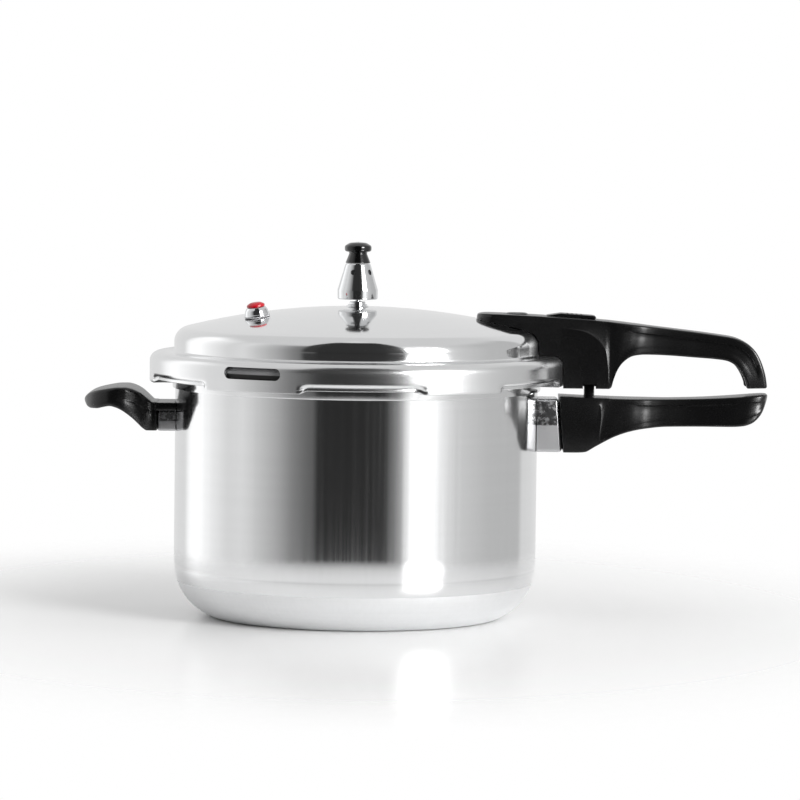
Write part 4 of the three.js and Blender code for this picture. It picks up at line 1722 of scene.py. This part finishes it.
@dataclass
class PotHandle:
    """Long handle of the pot with its pressed bracket."""

    bracket_x: float = 133.2
    bracket_heights: Point = (110.8, 145.8)
    boss_x: Point = (150.3, 156.9)
    boss_top: float = 155.2
    screw_height: float = 129.0
    rivet_heights: Point = (118.5, 139.0)

    def keys(self) -> list[list[float]]:
        """Key stations from the bracket to the round end.

        Returns:
            Rows of numbers in the order of a station's fields.
        """
        return [
            [133.6, 147.4, 136.6, 110.9, 16.6, 17.0, 0.90, 0.3, 0.3, 5.0, 1.2, 0.8, 0, 1, 1],
            [134.2, 147.6, 137.0, 110.8, 17.0, 18.0, 0.90, 0.3, 0.3, 5.0, 1.2, 1.0, 0, 1, 1],
            [141.0, 147.3, 142.0, 110.8, 17.0, 18.0, 0.90, 0.3, 0.3, 6.0, 1.2, 1.0, 0, 1, 1],
            [149.0, 147.0, 147.6, 110.9, 17.0, 18.0, 0.90, 0.3, 0.3, 6.0, 1.2, 1.0, 0, 1, 1],
            [157.0, 146.8, 151.2, 111.3, 17.0, 18.0, 0.89, 0.4, 0.3, 6.0, 1.2, 1.1, 0, 1, 1],
            [161.0, 146.7, 155.0, 113.3, 16.9, 18.0, 0.86, 0.5, 0.3, 6.0, 1.2, 1.1, 0, 1, 1],
            [163.6, 146.6, 157.6, 114.9, 16.8, 18.0, 0.60, 0.6, 0.3, 6.0, 1.3, 1.1, 0, 1, 1],
            [165.4, 146.6, 159.6, 116.0, 16.7, 17.9, 0.10, 0.6, 0.3, 6.0, 1.3, 1.1, 0, 1, 1],
            [168.4, 146.5, 163.2, 118.0, 16.5, 17.7, 0.04, 0.4, 0.3, 6.6, 1.3, 1.1, 0, 1.5, 1],
            [174.0, 146.4, 170.4, 121.6, 16.3, 17.3, 0.04, 0.1, 3.0, 9.0, 1.3, 1.2, 0, 2.4, 1.4],
            [181.0, 146.3, 178.8, 124.6, 16.0, 17.0, 0.04, 0.1, 9.0, 10.2, 1.3, 1.2, 0.4, 2.6, 1.6],
            [188.0, 146.3, 186.6, 126.4, 15.1, 16.1, 0.04, 0.1, 12.0, 10.2, 1.3, 1.2, 1.1, 2.6, 1.6],
            [195.0, 146.3, 194.0, 127.4, 13.6, 14.6, 0.04, 0.1, 12.0, 9.4, 1.3, 1.2, 1.3, 2.6, 1.6],
            [203.0, 146.3, 202.2, 128.2, 12.7, 13.7, 0.04, 0.1, 12.2, 8.6, 1.3, 1.2, 1.3, 2.6, 1.6],
            [216.0, 146.6, 215.6, 128.5, 12.4, 13.4, 0.04, 0.1, 12.2, 8.4, 1.3, 1.2, 1.3, 2.6, 1.6],
            [230.0, 147.1, 229.4, 128.7, 13.2, 14.2, 0.04, 0.1, 12.2, 9.0, 1.3, 1.2, 1.3, 2.6, 1.6],
            [242.0, 147.8, 241.2, 128.8, 14.6, 15.7, 0.04, 0.1, 12.0, 9.8, 1.3, 1.2, 1.2, 2.6, 1.6],
            [252.0, 148.5, 249.4, 128.95, 15.6, 16.8, 0.04, 0.1, 8.0, 9.4, 1.3, 1.4, 1.2, 2.6, 1.6],
            [259.0, 149.1, 255.2, 129.5, 15.8, 17.1, 0.04, 0.1, 1.0, 8.0, 1.3, 1.8, 1.2, 2.6, 1.6],
            [264.6, 149.6, 260.6, 131.3, 15.0, 16.2, 0.04, 0.1, 0.3, 6.0, 1.4, 2.0, 1.1, 2.6, 1.6],
            [268.2, 149.9, 264.8, 134.6, 13.2, 14.2, 0.04, 0.1, 0.3, 5.0, 1.4, 2.2, 0.8, 2.4, 1.4],
            [270.2, 150.0, 267.8, 138.8, 10.4, 11.4, 0.04, 0.1, 0.3, 4.0, 1.4, 2.2, 0.3, 1.6, 1],
            [271.0, 149.6, 269.8, 143.6, 6.6, 7.4, 0.04, 0.1, 0.3, 2.0, 1.0, 1.4, 0, 1, 0.6],
            [271.3, 148.8, 270.8, 146.2, 3.6, 4.0, 0.04, 0.1, 0.3, 1.0, 0.5, 0.6, 0, 0.5, 0.3],
        ]

    def grip(self) -> bpy.types.Object:
        """Makes the moulding with its tongue and the pocket of its boss.

        Returns:
            The handle.
        """
        handle = handle_from("pot_handle", self.keys(), 5)
        tongue = block((123.3, 140), (-13, 13), (112.8, 143.8))
        combined(handle, "UNION", tongue)
        lying = Matrix.Rotation(math.pi / 2, 4, "Y")
        low, high = self.boss_x
        pocket = block((low - GAP, high + GAP), (-5.3, 5.3), (139.7, 160))
        screw_line = Matrix.Translation((0, 0, self.screw_height)) @ lying
        cutters = [pocket, moved(bar(2.4, 120, 170, 32), screw_line)]
        for height in self.rivet_heights:
            rivet_line = Matrix.Translation((0, 0, height)) @ lying
            cutters.append(moved(bar(4.4, 120, 127.5, 32), rivet_line))
        return carved(handle, *cutters)

    def bracket(self) -> bpy.types.Object:
        """Makes the pressed box between wall and handle.

        Returns:
            The bracket.
        """
        low, high = self.bracket_heights
        outline = [(110, low), (135.8, low), (self.bracket_x, high), (110, high)]
        box = softened(prism("pot_bracket", outline, -15, 15, "Y"), 2.2, 5)
        hollow = softened(block((122.8, 140), (-13.4, 13.4), (112.4, 144.2)), 1.2, 3)
        return carved(box, hollow, bar(120.0, 100, 150, 256))

    def build(self, finishes: Finishes, repeat: NodeTree) -> None:
        """Makes the handle, its bracket, screw and rivets.

        Args:
            finishes: Finishes of the canner.
            repeat: Tree that sets copies along a line.
        """
        fitted(self.grip(), finishes.phenolic, Body.POT, Slot.PHENOLIC, "pot_handle_grip")
        boss = softened(block(self.boss_x, (-5, 5), (140, self.boss_top)), 0.8)
        boss.name = "lock_boss"
        fitted(boss, finishes.phenolic, Body.POT, Slot.PHENOLIC, "pot_handle_boss")
        bracket = self.bracket()
        fitted(bracket, finishes.pressed, Body.POT, Slot.CHROME, "pot_handle_bracket")
        steel, (low, high) = finishes.steel, self.rivet_heights
        rivet = Fastener("pot_bracket_rivets", 2.2, 4.0, 1.5, 7.5, far_head=4.0)
        rivets = rivet.row(repeat, steel, (1, 0, 0), (123.1, 0, low), (0, 0, high - low), 2)
        fitted(rivets, None, Body.POT, Slot.STEEL, "pot_bracket_rivet_1", "pot_bracket_rivet_2")
        screw = Fastener("pot_handle_screw_long", 2.0, 4.2, 3.0, 46.5, slot=0.6)
        long_screw = screw.row(repeat, steel, (1, 0, 0), (168.3, 0, self.screw_height))
        fitted(long_screw, None, Body.POT, Slot.STEEL, "pot_handle_screw")


@dataclass
class HelperHandle:
    """Short wide handle opposite the long ones."""

    bracket_x: float = -130.5
    screw_height: float = 128.0
    rivet_side: float = 11.0

    def keys(self) -> list[list[float]]:
        """Key stations from the bracket to the finger lip.

        Returns:
            Rows of numbers in the order of a station's fields.
        """
        return [
            [-130.9, 140.7, -130.9, 122.4, 18.8, 18.8, 0.62, 0.3, 0.3, 9.0, 1.0, 1.0, 0, 1, 1],
            [-131.6, 140.8, -131.6, 122.2, 19.6, 20.0, 0.62, 0.3, 0.3, 9.0, 1.2, 1.0, 0, 1, 1],
            [-134.0, 140.9, -134.6, 122.2, 20.0, 20.4, 0.62, 0.3, 0.3, 9.0, 1.3, 1.0, 0, 1, 1],
            [-136.2, 142.6, -137.4, 122.3, 20.6, 21.2, 0.62, 0.3, 0.3, 9.0, 1.5, 1.0, 0, 1, 1],
            [-138.6, 144.7, -140.0, 123.8, 21.8, 22.4, 0.60, 0.3, 0.3, 9.0, 1.7, 1.2, 0, 1, 1],
            [-141.2, 146.8, -143.0, 126.8, 23.6, 24.2, 0.58, 0.3, 0.3, 9.0, 2.0, 1.4, 0, 1, 1],
            [-144.4, 148.7, -146.6, 130.4, 25.6, 26.2, 0.52, 0.3, 0.3, 9.0, 2.2, 1.5, 0, 1, 1],
            [-148.0, 150.1, -150.0, 133.2, 27.2, 27.8, 0.47, 0.3, 0.3, 9.0, 2.3, 1.6, 0, 1, 1],
            [-152.0, 150.8, -153.4, 135.6, 28.4, 28.9, 0.42, 0.3, 0.3, 9.0, 2.3, 1.6, 0, 1, 1],
            [-157.0, 150.7, -157.4, 137.5, 28.8, 29.3, 0.38, 0.25, 0.3, 9.0, 2.3, 1.8, 0, 1, 1],
            [-161.6, 150.1, -161.6, 138.4, 28.2, 28.8, 0.36, 0.2, 0.3, 9.0, 2.3, 2.2, 0, 1, 1],
            [-166.0, 149.3, -166.0, 137.6, 26.4, 27.2, 0.38, 0.2, 0.3, 9.0, 2.3, 2.4, 0, 1, 1],
            [-170.0, 148.4, -170.0, 136.6, 23.8, 24.8, 0.40, 0.1, 0.3, 8.0, 2.3, 2.6, 0, 1, 1],
            [-174.0, 147.0, -174.0, 136.5, 19.6, 20.6, 0.40, 0.1, 0.3, 7.0, 2.3, 2.6, 0, 1, 1],
            [-177.0, 145.0, -176.8, 137.4, 14.4, 15.4, 0.40, 0.1, 0.3, 5.0, 2.0, 2.2, 0, 1, 1],
            [-178.6, 143.4, -178.4, 139.2, 8.8, 9.6, 0.40, 0.05, 0.3, 3.0, 1.2, 1.2, 0, 1, 1],
            [-179.2, 142.2, -179.15, 140.6, 5.4, 6.0, 0.36, 0.02, 0.3, 2.0, 0.4, 0.4, 0, 1, 1],
        ]

    def build(self, finishes: Finishes, repeat: NodeTree) -> None:
        """Makes the handle, its bracket, screw and rivets.

        Args:
            finishes: Finishes of the canner.
            repeat: Tree that sets copies along a line.
        """
        handle = handle_from("helper_handle", self.keys(), 5)
        shelf = softened(block((-137, -115), (-19.5, 19.5), (135.3, 140.6)), 0.9)
        combined(handle, "UNION", block((-136, -122.8), (-16, 16), (124, 133)), shelf)
        turn = Matrix.Rotation(-math.pi / 2, 4, "Y")
        lying = Matrix.Translation((0, 0, self.screw_height)) @ turn
        cutters = [moved(bar(2.4, 115, 160, 32), lying), moved(bar(4.8, 137.4, 160, 32), lying)]
        cutters.append(bar(120.0, 100, 150, 256))
        for side in (-self.rivet_side, self.rivet_side):
            sideways = Matrix.Translation((0, side, 0)) @ lying
            cutters.append(moved(bar(4.4, 115, 126, 32), sideways))
        carved(handle, *cutters)
        fitted(handle, finishes.phenolic, Body.POT, Slot.PHENOLIC, "helper_handle_grip")
        box = softened(block((self.bracket_x, -110), (-18, 18), (122, 135)), 1.4, 4)
        hollow = softened(block((-140, -122.2), (-16.4, 16.4), (123.6, 133.4)), 0.8, 3)
        carved(box, hollow, bar(120.0, 100, 150, 256))
        box.name = "helper_bracket_box"
        fitted(box, finishes.pressed, Body.POT, Slot.CHROME, "helper_bracket")
        steel, height, side = finishes.steel, self.screw_height, self.rivet_side
        rivet = Fastener("helper_rivets", 2.2, 4.0, 1.5, 7.9, far_head=4.0)
        start, step = (-122.5, -side, height), (0, 2 * side, 0)
        rivets = rivet.row(repeat, steel, (-1, 0, 0), start, step, 2)
        nodes = ("helper_bracket_rivet_1", "helper_bracket_rivet_2")
        fitted(rivets, None, Body.POT, Slot.STEEL, *nodes)
        screw = Fastener("helper_screw", 2.0, 4.2, 2.4, 16.4, slot=0.6)
        short_screw = screw.row(repeat, steel, (-1, 0, 0), (-137.7, 0, height))
        fitted(short_screw, None, Body.POT, Slot.STEEL, "helper_handle_screw")


# ---------------------------------------------------------------- fittings in the lid


@dataclass
class Regulator:
    """Weight with its knob and needle, standing on the vent pipe."""

    foot: float = 209.4
    radius: float = 13.3
    top_radius: float = 8.3
    top: float = 233.0
    knob_radius: float = 9.0
    knob_top: float = 247.2
    jets: int = 5
    crown: float = 204.5

    def build(self, finishes: Finishes, drill: NodeTree) -> None:
        """Makes the weight, knob, needle and vent pipe.

        Args:
            finishes: Finishes of the canner.
            drill: Tree that drills rings of holes.
        """
        foot, radius, top = self.foot, self.radius, self.top
        profile = filleted(
            [
                (4, foot + 5, 0),
                (4, foot, 0.6),
                (radius - 0.1, foot, 0.9),
                (radius, foot + 6.2, 2.0),
                (self.top_radius + 0.1, top - 0.8, 0.5),
                (self.top_radius - 0.4, top, 0.3),
                (0, top, 0),
            ],
            5,
        )
        bore = [(0, 224.5), (4, 224.5)]
        weight = turned("weight", [*bore, *profile], 128)
        values = {
            "Count": self.jets,
            "Ring": 9.0 * MM,
            "Hole": 1.7 * MM,
            "Height": 227.4 * MM,
            "Depth": 10.0 * MM,
            "Tilt": math.radians(90),
            "First": math.radians(252),
            "Finish": finishes.chrome,
        }
        drill.apply(weight, values)
        fitted(weight, None, Body.REGULATOR, Slot.CHROME, "regulator_weight")
        knob = filleted(
            [
                (0, top + GAP, 0),
                (self.top_radius, top + GAP, 0.3),
                (5.9, 239.4, 0.8),
                (6.1, 240.6, 0.8),
                (self.knob_radius - 0.2, 240.9, 1.6),
                (self.knob_radius - 0.1, 244.6, 1.9),
                (5.5, 246.6, 4),
                (0, self.knob_top, 0),
            ],
            6,
        )
        knob_piece = turned("knob", knob, 96)
        fitted(knob_piece, finishes.knob, Body.REGULATOR, Slot.KNOB, "regulator_knob")
        needle = [(0, 219), (0.8, 221.5), (0.8, 224), (1.1, 225), (1.1, top - 1.9), (0, top - 1.9)]
        piece = turned("needle", needle, 32)
        fitted(piece, finishes.steel, Body.REGULATOR, Slot.STEEL, "regulator_needle")
        self.pipe(finishes)

    def pipe(self, finishes: Finishes) -> None:
        """Makes the vent pipe with its washer and nut.

        Args:
            finishes: Finishes of the canner.
        """
        crown = self.crown
        profile = filleted(
            [
                (1.2, 200, 0),
                (1.2, 190, 0.2),
                (4, 190, 0.5),
                (4, crown + 0.9, 0),
                (6.4, crown + 0.9, 0.2),
                (6.4, crown + 1.5, 0.2),
                (5.2, crown + 1.6, 0.1),
                (5.2, crown + 3.3, 0.5),
                (1.7, crown + 3.5, 0.2),
                (1.7, 214, 0.4),
                (3, 214.8, 0.4),
                (3, 220, 0.5),
                (1.2, 223, 0.2),
                (1.2, 210, 0),
            ],
            4,
        )
        pipe = turned("vent_stem", profile, 64, ring=True)
        fitted(pipe, finishes.chrome, Body.LID, Slot.STEEL, "vent_pipe")
        low, high = crown + 0.2, crown + 0.6
        ring = [(4.3, low), (7.3, low), (7.4, low + 0.1), (7.4, high - 0.1), (7.3, high), (4.3, high)]
        washer = turned("vent_ring", ring, 64, ring=True)
        fitted(washer, finishes.chrome, Body.LID, Slot.STEEL, "vent_washer")
        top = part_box("vent_nut")[1][2] / MM
        nut = hex_nut("vent_hex_nut", 12, 4.3, top - 5, top)
        fitted(nut, finishes.steel, Body.LID, Slot.STEEL, "vent_nut")


def hex_nut(name: str, across: float, bore: float, low: float, high: float) -> bpy.types.Object:
    """Makes a hexagon nut with chamfered corners.

    Args:
        name: Name of the piece.
        across: Size across the flats.
        bore: Radius of the bore.
        low: Height of its foot.
        high: Height of its top.

    Returns:
        The nut.
    """
    corner = across / math.sqrt(3)
    outline = [
        (corner * math.cos(math.radians(60 * n)), corner * math.sin(math.radians(60 * n)))
        for n in range(6)
    ]
    nut = prism(name, outline, low, high, "Z")
    profile = [(0, low - 0.01), (across / 2, low - 0.01), (corner + 0.1, low + 0.9)]
    cap = [(corner + 0.1, high - 0.9), (across / 2, high + 0.01), (0, high + 0.01)]
    combined(nut, "INTERSECT", turned("chamfer", [*profile, *cap], 64))
    return carved(nut, bar(bore, low - 1, high + 1))


@dataclass
class SafetyValve:
    """Over-pressure valve on the crown with a red plug."""

    centre: Point = (-65.0, -35.0)
    radius: float = 8.3

    def axis(self, lid: Lid) -> Matrix:
        """Where the valve stands, square to the crown.

        Args:
            lid: Lid it stands on.

        Returns:
            The valve's frame in millimetres.
        """
        x, y = self.centre
        away = math.hypot(x, y)
        turn = Matrix.Rotation(math.atan2(y, x), 4, "Z")
        lean = Matrix.Rotation(math.asin(away / lid.crown_radius), 4, "Y")
        return Matrix.Translation((x, y, lid.crown(away))) @ turn @ lean

    def build(self, finishes: Finishes, lid: Lid) -> None:
        """Makes the valve's body, washer, nut and plug.

        Args:
            finishes: Finishes of the canner.
            lid: Lid it stands on.
        """
        axis = self.axis(lid)
        body = filleted(
            [
                (3.2, 0, 0),
                (3.2, -9, 0.2),
                (5, -9, 0.4),
                (5, 1, 0),
                (self.radius, 1, 0.3),
                (self.radius, 1.9, 0.3),
                (self.radius - 0.35, 2.2, 0.3),
                (self.radius - 1.0, 4.9, 3.5),
                (6.1, 6.6, 0.5),
                (3.2, 6.6, 0.2),
                (3.2, 4, 0),
            ],
            5,
        )
        piece = moved(turned("valve_body", body, 96, ring=True), axis)
        fitted(piece, finishes.chrome, Body.LID, Slot.CHROME, "safety_valve_body")
        ring = [(5.3, 0.3), (8.2, 0.3), (8.3, 0.55), (8.2, 0.8), (5.3, 0.8)]
        washer = moved(turned("valve_washer", ring, 64, ring=True), axis)
        fitted(washer, finishes.washer, Body.LID, Slot.SEAL, "safety_valve_washer")
        nut = moved(hex_nut("valve_hex_nut", 14, 5.3, -7.6, -3.5), axis)
        fitted(nut, finishes.steel, Body.LID, Slot.STEEL, "safety_valve_nut")
        plug = filleted(
            [
                (0, -10.5, 0),
                (2.6, -10.5, 0.8),
                (2.6, 6.9, 0),
                (5.9, 6.9, 0.3),
                (5.8, 8.4, 1.1),
                (3.4, 9.7, 3.0),
                (0, 9.9, 0),
            ],
            6,
        )
        piece = moved(turned("valve_plug", plug, 96), axis)
        fitted(piece, finishes.red, Body.PLUG, Slot.RED, "safety_valve_plug")


@dataclass
class Indicator:
    """Pressure pin with its disc in the nose of the lid handle."""

    x: float = 105.0

    def build(self, finishes: Finishes) -> None:
        """Makes the guide, pin and disc.

        Args:
            finishes: Finishes of the canner.
        """
        shift = Matrix.Translation((self.x, 0, 0))
        guide = filleted(
            [
                (2.6, 190, 0),
                (2.6, 184.6, 0.2),
                (4, 184.6, 0.4),
                (4, 193.9, 0),
                (5.2, 193.9, 0.2),
                (5.2, 195.4, 0.3),
                (2.6, 195.4, 0.2),
                (2.6, 194, 0),
            ],
            3,
        )
        piece = moved(turned("indicator_bush", guide, 64, ring=True), shift)
        fitted(piece, finishes.steel, Body.LID, Slot.STEEL, "indicator_guide")
        pin = filleted(
            [
                (0, 179.5, 0),
                (3.6, 179.5, 0.4),
                (3.6, 181, 0.3),
                (1.9, 181.4, 0.2),
                (1.9, 198.7, 0.3),
                (0, 198.7, 0),
            ],
            3,
        )
        piece = moved(turned("indicator_stem", pin, 48), shift)
        fitted(piece, finishes.steel, Body.INDICATOR, Slot.STEEL, "indicator_pin")
        disc = filleted(
            [
                (0, 199, 0),
                (7.9, 199, 0.3),
                (7.9, 201, 0.8),
                (6.6, 201.8, 0.3),
                (5.9, 201.4, 0.3),
                (0, 201.6, 0),
            ],
            4,
        )
        piece = moved(turned("indicator_disc", disc, 80), shift)
        fitted(piece, finishes.knob, Body.INDICATOR, Slot.KNOB, "indicator_button")


@dataclass
class LockSlide:
    """Thumb slide on the lid handle with its leg and fork."""

    half: float = 8.0
    plate_x: Point = (124.6, 157.4)
    rise: float = 2.2
    leg_x: Point = (152.4, 156.2)
    prong_x: Point = (158.4, 162.2)

    def plate(self) -> bpy.types.Object:
        """Makes the sloping plate with its taper, blunt end and thumb ribs.

        Returns:
            The plate.
        """
        (left, right), rise = self.plate_x, self.rise
        foot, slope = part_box("lock_slider")[1][2] / MM - rise + 0.1, math.radians(3.63)

        def placed(along: float, up: float) -> Point:
            """Point on the handle's sloping back."""
            x = left + along * math.cos(slope) + up * math.sin(slope)
            return x, foot + (10 - along) * math.sin(slope) + up * math.cos(slope)

        length = right - left
        rows = [(0.2, 0.1), (length - 0.7, 0.1), (length, 0.8), (length - 0.3, 1.7)]
        rows += [(length - 1.4, rise - 0.1), (length - 2.6, rise), (9.8, rise), (8.2, rise - 0.3)]
        outline = [placed(along, up) for along, up in rows]
        plate = softened(prism("lock_slide", outline, -self.half, self.half, "Y"), 0.4, 3)
        grooves = []
        for along in (14.0, 17.0, 20.0, 23.0):
            x, z = placed(along, rise)
            turn = Matrix.Translation((x, 0, z)) @ Matrix.Rotation(math.pi / 2, 4, "X")
            grooves.append(moved(bar(0.55, -5.5, 5.5, 16), turn))
        return carved(plate, *grooves)

    def build(self, finishes: Finishes) -> None:
        """Makes the slide with its leg, foot and fork.

        Args:
            finishes: Finishes of the canner.
        """
        leg_low, leg_high = self.leg_x
        low, high = self.prong_x
        plate = self.plate()
        leg = block((leg_low, leg_high), (-3, 3), (155.9, 199.4))
        foot = block((leg_low, high), (-3, 3), (155.9, 157.6))
        bridge = block((low, high), (-8.7, 8.7), (155.9, 157.6))
        prongs = [block((low, high), side, (153.3, 157.6)) for side in ((5.4, 8.7), (-8.7, -5.4))]
        combined(plate, "UNION", leg, foot, bridge, *prongs)
        fitted(plate, finishes.phenolic, Body.LOCK, Slot.PHENOLIC, "lock_slider")


# ---------------------------------------------------------------- studio


@dataclass
class Studio:
    """Camera, floor, surroundings and lamps.

    Bearings are in degrees from straight ahead of the canner, and each band is a bearing with the
    level of the wall there. The floor is in millimetres, the camera and the lamps in metres.
    """

    camera_place: Place = (0.0288, -3.17, 0.355)
    target: Place = (0.0288, 0.0, 0.143)
    lens: float = 216.3
    roll: float = 0.7
    brightness: float = 1.7
    overhead: float = 0.42
    overhead_front: float = 0.12
    ceiling: Point = (0.53, 0.766)
    front_ceiling_lift: Point = (0.42, 0.23)
    flag_bearings: Point = (-36.0, 33.0)
    flag_level: float = 0.018
    flag_strength: float = 0.9
    box_level: float = 14.0
    box_bearings: Point = (32.0, 59.0)
    box_heights: Point = (0.0, 30.0)
    floor_radius: float = 750.0
    floor_sides: int = 72
    floor_height: float = -0.4
    lamp_size: float = 2.2
    lamp_power: float = 8.0
    bands: tuple[Point, ...] = (
        (-180, 0.47),
        (-138, 0.47),
        (-132, 0.66),
        (-122, 0.8),
        (-104, 0.6),
        (-88, 0.466),
        (-75, 0.49),
        (-63, 0.377),
        (-51, 0.275),
        (-40, 0.15),
        (-30, 0.088),
        (-26.5, 0.085),
        (-24, 0.015),
        (19, 0.015),
        (21.5, 0.07),
        (27, 0.12),
        (30, 0.3),
        (32, 0.45),
        (36, 0.75),
        (40, 0.8),
        (41, 0.4),
        (42, 0.8),
        (48, 0.72),
        (53.5, 0.58),
        (65, 0.41),
        (93, 0.33),
        (128, 0.32),
        (132, 0.45),
        (180, 0.47),
    )

    def camera(self) -> None:
        """Sets the camera up."""
        data = bpy.data.cameras.new("camera")
        data.lens = self.lens
        data.sensor_width = 36.0
        data.clip_start, data.clip_end = 0.1, 50.0
        view = bpy.data.objects.new("camera", data)
        bpy.context.scene.collection.objects.link(view)
        here, there = Vector(self.camera_place), Vector(self.target)
        aim = (there - here).to_track_quat("-Z", "Y").to_matrix().to_4x4()
        turn = Matrix.Rotation(math.radians(self.roll), 4, "Z")
        view.matrix_world = Matrix.Translation(here) @ aim @ turn
        bpy.context.scene.camera = view

    def surroundings(self) -> None:
        """Builds the studio as a sky: walls with a dark flag in front, a ceiling and a soft box."""
        world = bpy.data.worlds.new("studio")
        bpy.context.scene.world = world
        world.use_nodes = True
        graph = Graph(world.node_tree)
        ray = graph.add("ShaderNodeTexCoord", {}, {}).outputs["Generated"]
        x, y, z = graph.split(ray)
        bearing = x.bearing(-y) / (2 * math.pi) + 0.5
        stops = [(degrees / 360 + 0.5, level) for degrees, level in self.bands]
        walls = graph.channel("ShaderNodeValToRGB", {"stops": stops}, {0: bearing})
        front = self.patch(graph, bearing, self.flag_bearings, 4)
        flag = front * graph.ease(z, -0.02, 0.04)
        shaded_walls = walls * (1.0 - self.flag_strength * flag) + self.flag_level * flag
        height = self.patch(graph, z * 0.16 + 0.5, self.box_heights, 8)
        box = self.patch(graph, bearing, self.box_bearings, 5) * height
        (foot, full), (foot_lift, full_lift) = self.ceiling, self.front_ceiling_lift
        ceiling = graph.ease(z, foot + foot_lift * front, full + full_lift * front)
        overhead = self.overhead + self.overhead_front * front
        inputs = {0: ceiling, 2: shaded_walls, 3: overhead}
        mixed = graph.channel("ShaderNodeMix", {"data_type": "FLOAT"}, inputs)
        inputs = {0: mixed + self.box_level * box, 1: self.brightness}
        around = graph.add("ShaderNodeBackground", {}, inputs)
        white = graph.add("ShaderNodeBackground", {}, {0: (1.0, 1.0, 1.0, 1.0), 1: 1.0})
        seen = graph.add("ShaderNodeLightPath", {}, {}).outputs["Is Camera Ray"]
        inputs = {0: seen, 1: around.outputs[0], 2: white.outputs[0]}
        shown = graph.add("ShaderNodeMixShader", {}, inputs)
        graph.add("ShaderNodeOutputWorld", {}, {"Surface": shown.outputs[0]})

    @staticmethod
    def patch(graph: Graph, turn: Channel, limits: Point, edge: float) -> Channel:
        """Level of a soft-edged patch of the surroundings.

        Args:
            graph: Graph of the surroundings.
            turn: Bearing or height in turns, with straight ahead at a half.
            limits: First and last bearing or height in degrees.
            edge: Width of the soft edges in degrees.

        Returns:
            1 inside the patch and 0 outside.
        """
        start, end = (limit / 360 + 0.5 for limit in limits)
        fade = edge / 360
        return graph.ease(turn, start, start + fade) * (1.0 - graph.ease(turn, end - fade, end))

    def lamp(self, name: str, place: Place) -> None:
        """Hangs one soft lamp that faces the canner.

        Args:
            name: Name of the lamp.
            place: Where it hangs.
        """
        data = bpy.data.lights.new(name, "AREA")
        data.shape = "DISK"
        data.size = self.lamp_size
        data.energy = self.lamp_power
        lamp = bpy.data.objects.new(name, data)
        bpy.context.scene.collection.objects.link(lamp)
        lamp.location = place
        # the polished pieces mirror the bands of the sky, not the lamps
        lamp.visible_glossy = False
        aim = Vector((0.03, 0, 0.1)) - Vector(place)
        lamp.rotation_euler = aim.to_track_quat("-Z", "Y").to_euler()

    def build(self) -> None:
        """Makes the whole studio."""
        bpy.context.scene.view_settings.view_transform = "Standard"
        self.camera()
        self.surroundings()
        self.lamp("soft key", (-0.9, -1.0, 1.9))
        self.lamp("soft fill", (1.3, -0.6, 1.7))
        rim = arc((0, 0), self.floor_radius, 0, 360, self.floor_sides)[:-1]
        verts = [(across, along, self.floor_height) for across, along in rim]
        floor = made_object("floor", verts, [list(range(self.floor_sides))])
        floor.data.materials.append(FloorSheet("pale floor").material())


# ---------------------------------------------------------------- assembly


def main() -> None:
    """Builds the canner in order, then its studio."""
    logging.basicConfig(level=logging.INFO, format="%(name)s %(message)s")
    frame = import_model()
    finishes = Finishes.made()
    repeat, drill = repeat_tree(), perforation_tree()
    lid, valve = Lid(), SafetyValve()
    Pot().build(finishes, drill)
    lid.build(finishes, valve.axis(lid))
    LidHandle().build(finishes, lid, repeat)
    PotHandle().build(finishes, repeat)
    HelperHandle().build(finishes, repeat)
    Regulator().build(finishes, drill)
    valve.build(finishes, lid)
    Indicator().build(finishes)
    LockSlide().build(finishes)
    strap = frame["nodes"]["lid_handle_bracket"]
    strap.data.materials.clear()
    strap.data.materials.append(finishes.steel)
    Studio().build()


if __name__ == "__main__":
    main()
